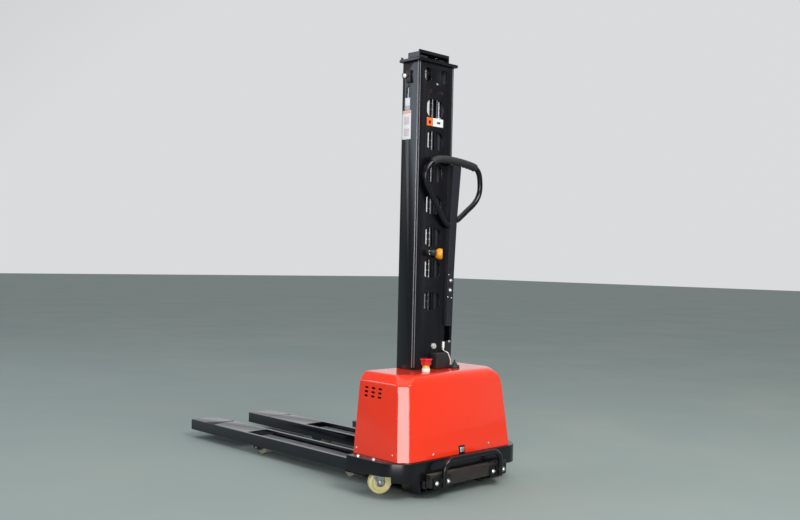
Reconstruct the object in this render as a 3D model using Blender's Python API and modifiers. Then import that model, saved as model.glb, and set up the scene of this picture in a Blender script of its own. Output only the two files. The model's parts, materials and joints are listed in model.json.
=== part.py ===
"""Self-loading walkie stacker, as separate pieces.

Frame: +Z up, +Y toward the fork tips, +X to the operator's right when facing
the forks.  The origin is on the ground, under the middle of the bounding box.
Metres.  Every moving piece hangs from an empty that lies on its joint's axis.
"""
import math
import bpy
import bmesh
from mathutils import Matrix, Vector

# ---------------------------------------------------------------- dimensions
GAP = 0.0003                  # running and resting clearance

# base
BASE_HALF_W = 0.375
BASE_REAR_Y = -0.778
BASE_FRONT_Y = -0.493
BASE_TOP_Z = 0.145
BASE_CORNER = 0.064
SKIRT_T = 0.006
SKIRT_REAR_Z = 0.0735
SKIRT_STEP_Y = -0.729
SKIRT_SIDE_REAR_Z = 0.0963
SKIRT_SIDE_FRONT_Z = 0.084

# mast
MAST_HALF_W = 0.104
MAST_REAR_Y = -0.578
MAST_FRONT_Y = -0.485
MAST_TOP_Z = 1.722
MAST_FOOT_Z = 0.030
MAST_WALL = 0.006
REAR_PLATE_T = 0.0047
FLANGE_IN_X = 0.074
HOLE_PITCH = 0.132
HOLE_TOP_Z = 1.536
HOLE_COUNT = 7
HOLE_W = 0.102
HOLE_H = 0.076
HOLE_R = 0.034

# inner mast
RAIL_OUT_X = 0.0935
RAIL_IN_X = 0.067
RAIL_WALL = 0.005
RAIL_Y0 = -0.5635
RAIL_Y1 = -0.4945
RAIL_TOP_Z = 1.7302
INNER_TRAVEL = 0.60
CARRIAGE_TRAVEL = 0.60

# lift gear
CYL_X = 0.042
CYL_Y = -0.5535
BARREL_R = 0.015
BARREL_BORE_R = 0.0118
ROD_R = 0.010
BARREL_TOP_Z = 1.500
SHEAVE_Y = -0.525
SHEAVE_Z = 1.660
CHAIN_R = 0.0223
CHAIN_W = 0.011
CHAIN_T = 0.007
CHAIN_ANCHOR_Z = 0.620
CARRIAGE_ANCHOR_Z = 0.3583

# carriage and forks
ROLLER_R = 0.029
ROLLER_Y = -0.529
ROLLER_LOW_Z = 0.140
ROLLER_HIGH_Z = 0.430
FORK_OUT_X = 0.245
FORK_W = 0.143
FORK_TOP_Z = 0.090
FORK_BOTTOM_Z = 0.0405
FORK_TIP_Y = 0.834
FORK_PLATE_Y = 0.378
FORK_WALL = 0.006
FORK_FLANGE = 0.016
FORK_HEEL_Y = -0.4635

# legs
LEG_X = 0.174
LEG_W = 0.110
LEG_TOP_Z = 0.0715
LEG_BOTTOM_Z = 0.043
LEG_T = 0.005
LEG_REAR_Y = -0.7802
LEG_FRONT_Y = 0.345
LEG_AXLE_Y = 0.292
LEG_WHEEL_R = 0.032
LEG_WHEEL_W = 0.070
MID_AXLE_Y = -0.306
MID_WHEEL_R = 0.030
MID_WHEEL_W = 0.038
LEG_TRAVEL = 0.50
BAR_HALF_W = 0.225
BAR_REAR_Y = -0.808
BAR_FRONT_Y = -0.7805
PULL_X = 0.166
PULL_Y = -0.823
PULL_TOP_Z = 0.148
PULL_R = 0.011

# casters
CASTER_X = 0.309
CASTER_Y = -0.5875
CASTER_TRAIL = 0.020
CASTER_R = 0.047
CASTER_W = 0.034
CASTER_YAW = math.radians(-24.5)   # trail direction at rest, from +X

# hood
HOOD_RINGS = (              # z, half width, front y, rear y, rear corner cut
    (0.1459, 0.3300, -0.4815, -0.7630, 0.036),
    (0.3900, 0.3070, -0.4815, -0.7350, 0.034),
    (0.4330, 0.3025, -0.4815, -0.7270, 0.036),
    (0.4480, 0.2915, -0.4820, -0.7195, 0.041),
    (0.4590, 0.2825, -0.4825, -0.7080, 0.046),
    (0.4660, 0.2720, -0.4835, -0.6900, 0.048),
)
HOOD_T = 0.0025
MAST_CUT_X = 0.1075
MAST_CUT_Y = -0.5825

# console post and loop handle
POST_X0 = 0.0765
POST_X1_TOP = 0.1240
POST_X1_LOW = 0.1090
POST_TOP_Z = 1.306
POST_LOW_Z = 0.4675
POST_BACK = ((0.4675, -0.5900), (0.857, -0.5925), (1.070, -0.5990), (1.306, -0.6140))
POST_WALL = 0.003
LOOP_X = 0.1002
LOOP_TUBE_R = 0.0115
GRIP_R = 0.0165

# ---------------------------------------------------------------- scene reset
for leftover in list(bpy.data.objects):
    bpy.data.objects.remove(leftover, do_unlink=True)

PARTS = bpy.data.collections.new("walkie_stacker")
CUTTERS = bpy.data.collections.new("walkie_stacker_cutters")
bpy.context.scene.collection.children.link(PARTS)
bpy.context.scene.collection.children.link(CUTTERS)


# ---------------------------------------------------------------- materials
def material(name, colour, roughness, metallic=0.0):
    mat = bpy.data.materials.new(name)
    mat.use_nodes = True
    shader = mat.node_tree.nodes["Principled BSDF"]
    shader.inputs["Base Color"].default_value = (*colour, 1.0)
    shader.inputs["Roughness"].default_value = roughness
    shader.inputs["Metallic"].default_value = metallic
    mat.diffuse_color = (*colour, 1.0)
    return mat


RED = material("red_paint", (0.80, 0.045, 0.015), 0.28)
BLACK = material("black_paint", (0.012, 0.013, 0.018), 0.38)
SATIN = material("satin_black_paint", (0.020, 0.021, 0.026), 0.45)
ZINC = material("zinc_plate", (0.62, 0.63, 0.62), 0.35, 1.0)
CHROME = material("chrome_rod", (0.75, 0.76, 0.78), 0.10, 1.0)
STEEL = material("bright_steel", (0.50, 0.50, 0.50), 0.30, 1.0)
CHAIN = material("chain_steel", (0.06, 0.06, 0.065), 0.40, 1.0)
RUBBER = material("black_rubber", (0.018, 0.018, 0.018), 0.75)
PLASTIC = material("black_plastic", (0.015, 0.015, 0.017), 0.50)
CREAM = material("cream_polyurethane", (0.80, 0.70, 0.34), 0.45)
NYLON = material("pale_nylon", (0.72, 0.70, 0.62), 0.50)
ORANGE = material("orange_knob", (0.85, 0.27, 0.01), 0.25)
BUTTON = material("red_button", (0.62, 0.015, 0.015), 0.30)
YELLOW = material("yellow_ring", (0.80, 0.60, 0.02), 0.40)
WHITE = material("white_plastic", (0.78, 0.78, 0.76), 0.40)
BATTERY = material("battery_case", (0.05, 0.05, 0.055), 0.55)
MOTOR = material("motor_paint", (0.10, 0.11, 0.12), 0.45)


# ---------------------------------------------------------------- builders
def finish(name, bm, mat=None, origin=(0, 0, 0), cutter=False):
    """Write a bmesh made in world coordinates to an object with its own origin."""
    shift = Vector(origin)
    bmesh.ops.translate(bm, verts=bm.verts, vec=-shift)
    bmesh.ops.recalc_face_normals(bm, faces=bm.faces)
    mesh = bpy.data.meshes.new(name)
    bm.to_mesh(mesh)
    bm.free()
    obj = bpy.data.objects.new(name, mesh)
    obj.location = shift
    if cutter:
        CUTTERS.objects.link(obj)
        obj.hide_render = True
        obj.display_type = 'WIRE'
    else:
        PARTS.objects.link(obj)
        mesh.materials.append(mat)
    return obj


def box(name, x, y, z, mat=None, origin=None, cutter=False):
    bm = bmesh.new()
    bmesh.ops.create_cube(bm, size=1.0)
    size = Vector((x[1] - x[0], y[1] - y[0], z[1] - z[0]))
    mid = Vector(((x[0] + x[1]) / 2, (y[0] + y[1]) / 2, (z[0] + z[1]) / 2))
    bmesh.ops.scale(bm, vec=size, verts=bm.verts)
    bmesh.ops.translate(bm, verts=bm.verts, vec=mid)
    return finish(name, bm, mat, mid if origin is None else origin, cutter)


AXES = {
    'X': Matrix.Rotation(math.pi / 2, 4, 'Y'),
    'Y': Matrix.Rotation(-math.pi / 2, 4, 'X'),
    'Z': Matrix.Identity(4),
}


def cylinder(name, centre, radius, length, axis='Z', mat=None, segments=24,
             top_radius=None, origin=None, cutter=False):
    bm = bmesh.new()
    bmesh.ops.create_cone(bm, cap_ends=True, segments=segments, radius1=radius,
                          radius2=radius if top_radius is None else top_radius,
                          depth=length)
    turn = AXES[axis] if isinstance(axis, str) else axis
    bmesh.ops.transform(bm, matrix=Matrix.Translation(Vector(centre)) @ turn, verts=bm.verts)
    obj = finish(name, bm, mat, centre if origin is None else origin, cutter)
    smooth(obj)
    return obj


def smooth(obj, angle=35.0):
    obj.data.shade_smooth()
    obj.data.set_sharp_from_angle(angle=math.radians(angle))


def prism(name, outline, low, high, axis='Z', mat=None, origin=None, cutter=False):
    """A flat outline as a filled 2D curve, extruded between two levels on an axis.

    axis Z takes (x, y) points, axis X takes (y, z) points and axis Y takes (x, z).
    """
    curve = bpy.data.curves.new(name, 'CURVE')
    curve.dimensions = '2D'
    curve.fill_mode = 'BOTH'
    curve.extrude = (high - low) / 2
    spline = curve.splines.new('POLY')
    spline.points.add(len(outline) - 1)
    for point, (a, b) in zip(spline.points, outline):
        point.co = (a, b, 0.0, 1.0)
    spline.use_cyclic_u = True
    sketch = bpy.data.objects.new(name, curve)
    PARTS.objects.link(sketch)
    bpy.context.view_layer.update()
    mesh = bpy.data.meshes.new_from_object(sketch.evaluated_get(bpy.context.evaluated_depsgraph_get()))
    bpy.data.objects.remove(sketch, do_unlink=True)
    bpy.data.curves.remove(curve)
    bm = bmesh.new()
    bm.from_mesh(mesh)
    bpy.data.meshes.remove(mesh)
    bmesh.ops.remove_doubles(bm, verts=bm.verts, dist=0.00002)
    mid = (low + high) / 2
    if axis == 'X':
        place = Matrix(((0, 0, 1, mid), (1, 0, 0, 0), (0, 1, 0, 0), (0, 0, 0, 1)))
    elif axis == 'Y':
        place = Matrix(((1, 0, 0, 0), (0, 0, -1, mid), (0, 1, 0, 0), (0, 0, 0, 1)))
    else:
        place = Matrix.Translation((0, 0, mid))
    bmesh.ops.transform(bm, matrix=place, verts=bm.verts)
    return finish(name, bm, mat, (0, 0, 0) if origin is None else origin, cutter)


def turned(name, profile, centre, axis='Z', mat=None, segments=32, closed=True):
    """A turned piece: (radius, height) points, down the outer side from the top."""
    mesh = bpy.data.meshes.new(name)
    count = len(profile)
    edges = [(i, i + 1) for i in range(count - 1)]
    if closed:
        edges.append((count - 1, 0))
    mesh.from_pydata([(r, 0.0, h) for r, h in profile], edges, [])
    mesh.materials.append(mat)
    obj = bpy.data.objects.new(name, mesh)
    PARTS.objects.link(obj)
    obj.matrix_world = Matrix.Translation(Vector(centre)) @ (AXES[axis] if isinstance(axis, str) else axis)
    screw = obj.modifiers.new("Turn", 'SCREW')
    screw.steps = screw.render_steps = segments
    screw.use_merge_vertices = True
    screw.merge_threshold = 0.00002
    screw.use_smooth_shade = False
    return obj


def tube(name, points, radius, mat=None, resolution=3, cutter=False, origin=(0, 0, 0)):
    """A round tube along a poly line, as a welded mesh."""
    curve = bpy.data.curves.new(name, 'CURVE')
    curve.dimensions = '3D'
    curve.bevel_depth = radius
    curve.bevel_resolution = resolution
    curve.use_fill_caps = True
    spline = curve.splines.new('POLY')
    spline.points.add(len(points) - 1)
    for point, co in zip(spline.points, points):
        point.co = (*co, 1.0)
    sketch = bpy.data.objects.new(name, curve)
    PARTS.objects.link(sketch)
    bpy.context.view_layer.update()
    mesh = bpy.data.meshes.new_from_object(sketch.evaluated_get(bpy.context.evaluated_depsgraph_get()))
    bpy.data.objects.remove(sketch, do_unlink=True)
    bpy.data.curves.remove(curve)
    bm = bmesh.new()
    bm.from_mesh(mesh)
    bpy.data.meshes.remove(mesh)
    bmesh.ops.remove_doubles(bm, verts=bm.verts, dist=0.00002)
    obj = finish(name, bm, mat, origin, cutter)
    smooth(obj, 40)
    return obj


def boolean(target, tool, operation):
    mod = target.modifiers.new(operation.title(), 'BOOLEAN')
    mod.operation = operation
    mod.solver = 'EXACT'
    mod.object = tool
    return target


def cut(target, *tools):
    for tool in tools:
        boolean(target, tool, 'DIFFERENCE')
    return target


def weld(target, *tools):
    for tool in tools:
        boolean(target, tool, 'UNION')
    return target


def cbox(name, x, y, z):
    return box(name, x, y, z, cutter=True)


def empty(name, location, parent=None):
    obj = bpy.data.objects.new(name, None)
    obj.empty_display_size = 0.05
    PARTS.objects.link(obj)
    obj.location = Vector(location)
    if parent is not None:
        obj.parent = parent
        obj.matrix_parent_inverse = Matrix.Translation(-WORLD[parent.name])
    WORLD[name] = Vector(location)
    return obj


WORLD = {}


def hang(parent, *objects):
    for obj in objects:
        obj.parent = parent
        obj.matrix_parent_inverse = Matrix.Translation(-WORLD[parent.name])


def rounded_rect(cx, cy, w, h, r, steps=5):
    points = []
    for quarter, (sx, sy) in enumerate(((1, 1), (-1, 1), (-1, -1), (1, -1))):
        for step in range(steps + 1):
            a = math.radians(90 * quarter + 90 * step / steps)
            points.append((cx + sx * (w / 2 - r) + r * math.cos(a),
                           cy + sy * (h / 2 - r) + r * math.sin(a)))
    return points


def arc(centre, radius, start, end, steps):
    return [(centre[0] + radius * math.cos(math.radians(start + (end - start) * i / steps)),
             centre[1] + radius * math.sin(math.radians(start + (end - start) * i / steps)))
            for i in range(steps + 1)]


def mirrored(side, a, b):
    """An x range on the side's half of the machine."""
    return (side * a, side * b) if side > 0 else (side * b, side * a)


SIDES = (("left", -1), ("right", 1))

# ---------------------------------------------------------------- joint empties
AX_INNER = empty("inner_mast_axis", (0, SHEAVE_Y, 0.9))
AX_CARRIAGE = empty("carriage_axis", (0, SHEAVE_Y, 0.3), AX_INNER)
AX_SHEAVE = empty("sheave_axis", (0, SHEAVE_Y, SHEAVE_Z), AX_INNER)
AX_LEGS = empty("legs_axis", (0, LEG_REAR_Y, 0.057))

# ---------------------------------------------------------------- base frame
def base_outline(inset):
    hw = BASE_HALF_W - inset
    rear = BASE_REAR_Y + inset
    front = BASE_FRONT_Y - inset
    c = BASE_CORNER - inset * (2 - math.sqrt(2))
    k = 0.012          # the corner cut meets the sides over two short flats
    return [(hw, front), (-hw, front), (-hw, rear + c + k), (-hw + k * 0.35, rear + c),
            (-hw + c, rear + k * 0.35), (-hw + c + k, rear), (hw - c - k, rear),
            (hw - c, rear + k * 0.35), (hw - k * 0.35, rear + c), (hw, rear + c + k)]


base = prism("base_frame", base_outline(0.0), SKIRT_REAR_Z, BASE_TOP_Z, mat=BLACK)
cut(base,
    prism("base_hollow", base_outline(SKIRT_T), 0.060, BASE_TOP_Z - SKIRT_T, cutter=True),
    cbox("base_mast_notch", (-MAST_CUT_X, MAST_CUT_X), (MAST_CUT_Y - 0.001, -0.480), (0.05, 0.16)))
for side_name, side in SIDES:
    x0, x1 = mirrored(side, 0.320, 0.400)
    profile = [(-0.480, 0.050), (-0.480, SKIRT_SIDE_FRONT_Z), (SKIRT_STEP_Y, SKIRT_SIDE_REAR_Z),
               (SKIRT_STEP_Y, 0.050)]
    cut(base, prism("skirt_arch_" + side_name, profile, x0, x1, axis='X', cutter=True))
    cut(base, cbox("leg_gate_" + side_name, mirrored(side, 0.100, 0.262),
                   (-0.510, -0.480), (0.050, 0.1385)))

# leg guides: a cradle under each leg, with the arms that carry the front wheels
for side_name, side in SIDES:
    guide = box("leg_guide_" + side_name, mirrored(side, 0.1085, 0.2345), (-0.762, -0.500),
                (0.0195, 0.0255), BLACK)
    weld(guide,
         cbox("guide_hanger_in_" + side_name, mirrored(side, 0.1085, 0.1145), (-0.762, -0.500), (0.0197, 0.1387)),
         cbox("guide_foot_" + side_name, mirrored(side, 0.2300, 0.2395), (-0.761, -0.665), (0.0195, 0.0255)),
         cbox("guide_hanger_out_" + side_name, mirrored(side, 0.2335, 0.2395), (-0.7615, -0.6655), (0.0200, 0.1387)))
    for tag, ax in (("a", 0.1500), ("b", 0.1980)):
        arm = [(-0.760, 0.0205), (-0.760, 0.0560), (-0.296, 0.0560), (-0.287, 0.0480),
               (-0.284, 0.0300), (-0.290, 0.0205)]
        weld(guide, prism("guide_arm_%s_%s" % (tag, side_name), arm,
                          *mirrored(side, ax - 0.003, ax + 0.003), axis='X', cutter=True))
    weld(guide, cylinder("guide_pin_" + side_name, (side * LEG_X, MID_AXLE_Y, MID_WHEEL_R), 0.006, 0.0535,
                         'X', segments=20, cutter=True))

# ---------------------------------------------------------------- mast
for side_name, side in SIDES:
    a, b, t = MAST_HALF_W, FLANGE_IN_X, MAST_WALL
    y0, y1 = MAST_REAR_Y + REAR_PLATE_T + GAP, MAST_FRONT_Y
    section = [(side * a, y0), (side * a, y1), (side * b, y1), (side * b, y1 - t),
               (side * (a - t), y1 - t), (side * (a - t), y0 + t), (side * b, y0 + t), (side * b, y0)]
    upright = prism("mast_upright_" + side_name, section, MAST_FOOT_Z, MAST_TOP_Z - GAP, mat=BLACK)
    if side < 0:
        slot = rounded_rect(-0.514, 1.5965, 0.014, 0.046, 0.0069)
        cut(upright, prism("switch_slot", slot, -0.110, -0.095, axis='X', cutter=True))

plate = box("mast_rear_plate", (-MAST_HALF_W + 0.0008, MAST_HALF_W - 0.0008),
            (MAST_REAR_Y, MAST_REAR_Y + REAR_PLATE_T), (MAST_FOOT_Z, MAST_TOP_Z - GAP), BLACK)
weld(plate,
     cbox("chain_anchor", (-0.012, 0.012), (MAST_REAR_Y + 0.003, -0.5400), (0.590, CHAIN_ANCHOR_Z - GAP)),
     cbox("cylinder_shelf", (-0.0572, 0.0572), (MAST_REAR_Y + 0.003, -0.5380), (0.1020, 0.1117)))
for i in range(HOLE_COUNT):
    hole = rounded_rect(-0.004, HOLE_TOP_Z - i * HOLE_PITCH, HOLE_W, HOLE_H, HOLE_R)
    cut(plate, prism("plate_hole_%d" % (i + 1), hole, MAST_REAR_Y - 0.004, MAST_REAR_Y + 0.012,
                     axis='Y', cutter=True))
for tag, x in (("left", -0.0495), ("right", 0.0435)):
    oval = rounded_rect(x, 1.6725, 0.039, 0.056, 0.0194)
    cut(plate, prism("plate_oval_" + tag, oval, MAST_REAR_Y - 0.004, MAST_REAR_Y + 0.012,
                     axis='Y', cutter=True))
for tag, x in (("left", -0.0326), ("right", 0.0322)):
    cut(plate, cylinder("plate_bolt_hole_" + tag, (x, MAST_REAR_Y, 1.6055), 0.0065, 0.02, 'Y',
                        segments=16, cutter=True))

cap = box("mast_cap", (-0.116, 0.116), (-0.590, -0.474), (MAST_TOP_Z, MAST_TOP_Z + 0.012), BLACK)
cut(cap, cbox("cap_window", (-0.0965, 0.0965), (-0.5665, -0.4905), (1.70, 1.76)))

# ---------------------------------------------------------------- inner mast
for side_name, side in SIDES:
    a, b, t = RAIL_OUT_X, RAIL_IN_X, RAIL_WALL
    section = [(side * a, RAIL_Y0), (side * a, RAIL_Y1), (side * b, RAIL_Y1), (side * b, RAIL_Y1 - t),
               (side * (a - t), RAIL_Y1 - t), (side * (a - t), RAIL_Y0 + t), (side * b, RAIL_Y0 + t),
               (side * b, RAIL_Y0)]
    rail = prism("inner_rail_" + side_name, section, 0.040, RAIL_TOP_Z, mat=SATIN)
    hang(AX_INNER, rail)
    rod = cylinder("lift_rod_" + side_name, (side * CYL_X, CYL_Y, (0.860 + RAIL_TOP_Z) / 2), ROD_R,
                   RAIL_TOP_Z - 0.860, 'Z', CHROME, 20)
    hang(AX_INNER, rod)
    barrel = turned("lift_cylinder_" + side_name,
                    [(BARREL_BORE_R, BARREL_TOP_Z), (BARREL_R - 0.001, BARREL_TOP_Z), (BARREL_R, BARREL_TOP_Z - 0.001),
                     (BARREL_R, 0.1120), (0.0, 0.1120), (0.0, 0.1220), (BARREL_BORE_R, 0.1220)],
                    (side * CYL_X, CYL_Y, 0), 'Z', BLACK, 24, closed=False)
    # the bore runs back up to the rim, so the profile closes there
    barrel.data.clear_geometry()
    loop = [(0.0, 0.1220), (BARREL_BORE_R, 0.1220), (BARREL_BORE_R, BARREL_TOP_Z),
            (BARREL_R, BARREL_TOP_Z), (BARREL_R, 0.1120), (0.0, 0.1120)]
    barrel.data.from_pydata([(r, 0.0, h) for r, h in loop], [(i, i + 1) for i in range(len(loop) - 1)], [])

head = box("inner_crosshead", (-0.089, 0.089), (-0.563, -0.497), (RAIL_TOP_Z + GAP, 1.772), SATIN)
cut(head,
    cbox("crosshead_recess", (-0.083, 0.083), (-0.570, -0.503), (1.7365, 1.7590)),
    cbox("crosshead_step", (-0.100, 0.100), (-0.5570, -0.480), (1.7640, 1.780)))
for tag, x in (("left", (-0.0165, -0.0125)), ("right", (0.0125, 0.0165))):
    weld(head, cbox("sheave_cheek_" + tag, x, (-0.546, -0.506), (1.642, 1.7325)))
weld(head, cylinder("sheave_pin", (0, SHEAVE_Y, SHEAVE_Z), 0.005, 0.031, 'X', segments=20, cutter=True))
hang(AX_INNER, head)

sheave = turned("chain_sheave",
                [(0.0053, 0.0105), (0.0285, 0.0105), (0.0285, 0.0075), (0.0184, 0.0060), (0.0184, -0.0060),
                 (0.0285, -0.0075), (0.0285, -0.0105), (0.0053, -0.0105)],
                (0, SHEAVE_Y, SHEAVE_Z), 'X', STEEL, 24)
hang(AX_SHEAVE, sheave)

# chain: the front run goes over the sheave and down to the carriage
ri, ro = CHAIN_R - CHAIN_T / 2, CHAIN_R + CHAIN_T / 2
path = ([(SHEAVE_Y + ri, CARRIAGE_ANCHOR_Z + GAP), (SHEAVE_Y + ro, CARRIAGE_ANCHOR_Z + GAP)]
        + arc((SHEAVE_Y, SHEAVE_Z), ro, 0, 180, 14) + arc((SHEAVE_Y, SHEAVE_Z), ri, 180, 0, 14))
front_run = prism("chain_front_run", path, -CHAIN_W / 2, CHAIN_W / 2, axis='X', mat=CHAIN)
hang(AX_INNER, front_run)
back_run = box("chain_back_run", (-CHAIN_W / 2, CHAIN_W / 2), (SHEAVE_Y - ro, SHEAVE_Y - ri),
               (CHAIN_ANCHOR_Z, SHEAVE_Z - GAP), CHAIN)

# ---------------------------------------------------------------- carriage
carriage = box("carriage_frame", (-0.236, 0.236), (-0.4718, -0.4638), (0.098, 0.2480), SATIN)
weld(carriage,
     cbox("carriage_top_beam", (-0.250, 0.250), (-0.4716, -0.3840), (0.2240, 0.2482)),
     cbox("carriage_chain_beam", (-0.0600, 0.0600), (-0.510, -0.4950), (0.3280, CARRIAGE_ANCHOR_Z)))
for side_name, side in SIDES:
    side_plate = [(-0.548, 0.105), (-0.548, 0.470), (-0.500, 0.470), (-0.4650, 0.290), (-0.4650, 0.105)]
    weld(carriage, prism("carriage_side_" + side_name, side_plate, *mirrored(side, 0.0580, 0.0630),
                         axis='X', cutter=True))
    for tag, z in (("low", ROLLER_LOW_Z), ("high", ROLLER_HIGH_Z)):
        weld(carriage, cylinder("stub_%s_%s" % (tag, side_name), (side * 0.0740, ROLLER_Y, z), 0.007, 0.0270,
                                'X', segments=20, cutter=True))
hang(AX_CARRIAGE, carriage)

for side_name, side in SIDES:
    for tag, z in (("low", ROLLER_LOW_Z), ("high", ROLLER_HIGH_Z)):
        axis_empty = empty("roller_axis_%s_%s" % (tag, side_name), (side * 0.076, ROLLER_Y, z), AX_CARRIAGE)
        roller = turned("mast_roller_%s_%s" % (tag, side_name),
                        [(0.0073, 0.0100), (ROLLER_R - 0.0015, 0.0100), (ROLLER_R, 0.0085), (ROLLER_R, -0.0085),
                         (ROLLER_R - 0.0015, -0.0100), (0.0073, -0.0100)],
                        (side * 0.0760, ROLLER_Y, z), 'X', STEEL, 24)
        hang(axis_empty, roller)

    # open-frame fork: two rails, a top plate over the front third, a heel
    xo, xi = FORK_OUT_X, FORK_OUT_X - FORK_W
    fork = box("fork_" + side_name, mirrored(side, xi, xo), (FORK_HEEL_Y, FORK_TIP_Y),
               (FORK_BOTTOM_Z, FORK_TOP_Z), BLACK)
    cut(fork,
        cbox("fork_under_" + side_name, mirrored(side, xi + FORK_WALL, xo - FORK_WALL),
             (FORK_HEEL_Y - 0.01, FORK_TIP_Y - FORK_WALL), (0.030, FORK_TOP_Z - FORK_WALL)),
        cbox("fork_window_" + side_name, mirrored(side, xi + FORK_FLANGE, xo - FORK_FLANGE),
             (-0.395, FORK_PLATE_Y), (0.060, 0.100)))
    for tag, x in (("in", (xi + 0.0002, xi + 0.0058)), ("out", (xo - 0.0058, xo - 0.0002))):
        gusset = [(FORK_HEEL_Y + 0.0002, 0.088), (FORK_HEEL_Y + 0.0002, 0.2235), (-0.4270, 0.2235),
                  (-0.4080, 0.120), (-0.3930, 0.088)]
        weld(fork, prism("fork_gusset_%s_%s" % (tag, side_name), gusset, *mirrored(side, *x), axis='X', cutter=True))
    hang(AX_CARRIAGE, fork)

# ---------------------------------------------------------------- legs
for side_name, side in SIDES:
    x0, x1 = LEG_X - LEG_W / 2, LEG_X + LEG_W / 2
    leg = box("leg_" + side_name, mirrored(side, x0, x1), (LEG_REAR_Y, LEG_FRONT_Y),
              (LEG_BOTTOM_Z, LEG_TOP_Z), BLACK)
    cut(leg, cbox("leg_under_" + side_name, mirrored(side, x0 + LEG_T, x1 - LEG_T),
                  (LEG_REAR_Y - 0.01, LEG_FRONT_Y - LEG_T), (0.030, LEG_TOP_Z - LEG_T)))
    for tag, x in (("in", (x0 + 0.0001, x0 + LEG_T - 0.0001)), ("out", (x1 - LEG_T + 0.0001, x1 - 0.0001))):
        cheek = [(0.250, 0.046), (0.340, 0.046), (0.326, 0.030), (0.314, 0.0215), (0.270, 0.0215), (0.258, 0.030)]
        weld(leg, prism("leg_cheek_%s_%s" % (tag, side_name), cheek, *mirrored(side, *x), axis='X', cutter=True))
    weld(leg,
         cylinder("leg_axle_" + side_name, (side * LEG_X, LEG_AXLE_Y, LEG_WHEEL_R), 0.007, LEG_W - 0.004,
                  'X', segments=20, cutter=True),
         cylinder("leg_axle_nut_" + side_name, (side * (x1 + 0.0025), LEG_AXLE_Y, LEG_WHEEL_R), 0.0095, 0.0070,
                  'X', segments=6, cutter=True))
    hang(AX_LEGS, leg)
    wheel_axis = empty("leg_wheel_axis_" + side_name, (side * LEG_X, LEG_AXLE_Y, LEG_WHEEL_R), AX_LEGS)
    h, r = LEG_WHEEL_W / 2, LEG_WHEEL_R
    wheel = turned("leg_wheel_" + side_name,
                   [(0.0073, h), (r - 0.003, h), (r, h - 0.003), (r, -h + 0.003), (r - 0.003, -h), (0.0073, -h)],
                   (side * LEG_X, LEG_AXLE_Y, LEG_WHEEL_R), 'X', CREAM, 28)
    hang(wheel_axis, wheel)
    mid_axis = empty("mid_wheel_axis_" + side_name, (side * LEG_X, MID_AXLE_Y, MID_WHEEL_R))
    h, r = MID_WHEEL_W / 2, MID_WHEEL_R
    wheel = turned("mid_wheel_" + side_name,
                   [(0.0063, h), (r - 0.002, h), (r, h - 0.002), (r, -h + 0.002), (r - 0.002, -h), (0.0063, -h)],
                   (side * LEG_X, MID_AXLE_Y, MID_WHEEL_R), 'X', CREAM, 28)
    hang(mid_axis, wheel)

bar = box("leg_crossbar", (-BAR_HALF_W, BAR_HALF_W), (BAR_REAR_Y, BAR_FRONT_Y), (0.048, 0.098), BLACK)
cut(bar, cbox("crossbar_hollow", (-BAR_HALF_W + 0.005, BAR_HALF_W - 0.005),
              (BAR_REAR_Y + 0.005, BAR_FRONT_Y + 0.005), (0.053, 0.093)))
hang(AX_LEGS, bar)

pull_path = [(-PULL_X, PULL_Y, 0.0460)]
pull_path += [(x, PULL_Y, z) for x, z in arc((-PULL_X + 0.045, PULL_TOP_Z - 0.045), 0.045, 180, 90, 6)]
pull_path += [(x, PULL_Y, z) for x, z in arc((PULL_X - 0.045, PULL_TOP_Z - 0.045), 0.045, 90, 0, 6)]
pull_path += [(PULL_X, PULL_Y, 0.0460)]
pull = tube("pull_handle", pull_path, PULL_R, BLACK, 3)
for side_name, side in SIDES:
    weld(pull, cbox("pull_plate_" + side_name, mirrored(side, 0.118, 0.214), (-0.8140, BAR_REAR_Y - GAP),
                    (0.0445, 0.0870)))
hang(AX_LEGS, pull)

# ---------------------------------------------------------------- casters
yaw = Matrix.Rotation(CASTER_YAW, 4, 'Z')
for side_name, side in SIDES:
    sx = side * CASTER_X
    box("caster_mount_" + side_name, (sx - 0.034, sx + 0.034), (CASTER_Y - 0.034, CASTER_Y + 0.034),
        (0.1328, BASE_TOP_Z - SKIRT_T - GAP), ZINC)
    swivel = empty("caster_swivel_axis_" + side_name, (sx, CASTER_Y, 0.12))
    turn = Matrix.Translation((sx, CASTER_Y, 0)) @ yaw
    yoke = cylinder("caster_yoke_" + side_name, (sx, CASTER_Y, 0.1185), 0.0215, 0.0280, 'Z', ZINC, 28)
    crown = cbox("caster_crown_" + side_name, (-0.020, 0.030), (-0.0226, 0.0226), (0.0990, 0.1060))
    crown.matrix_world = turn @ Matrix.Translation(crown.location)
    weld(yoke, crown)
    for tag, y in (("a", (-0.0225, -0.0182)), ("b", (0.0182, 0.0225))):
        cheek = prism("caster_cheek_%s_%s" % (tag, side_name),
                      [(-0.0180, 0.1030), (-0.0120, 0.0700), (0.0060, 0.0420), (0.0130, 0.0340),
                       (0.0270, 0.0340), (0.0330, 0.0420), (0.0280, 0.1030)],
                      y[0], y[1], axis='Y', cutter=True)
        cheek.matrix_world = turn
        weld(yoke, cheek)
    pin = cylinder("caster_pin_" + side_name, (CASTER_TRAIL, 0, CASTER_R), 0.005, 0.0448, 'Y', segments=20,
                   origin=(0, 0, 0), cutter=True)
    pin.matrix_world = turn
    weld(yoke, pin)
    hang(swivel, yoke)
    centre = turn @ Vector((CASTER_TRAIL, 0, CASTER_R))
    axle = empty("caster_wheel_axis_" + side_name, centre, swivel)
    h, r = CASTER_W / 2, CASTER_R
    wheel = turned("caster_wheel_" + side_name,
                   [(0.0053, h), (r - 0.005, h), (r, h - 0.005), (r, -h + 0.005), (r - 0.005, -h), (0.0053, -h)],
                   centre, yaw @ AXES['Y'], CREAM, 32)
    hang(axle, wheel)

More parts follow.
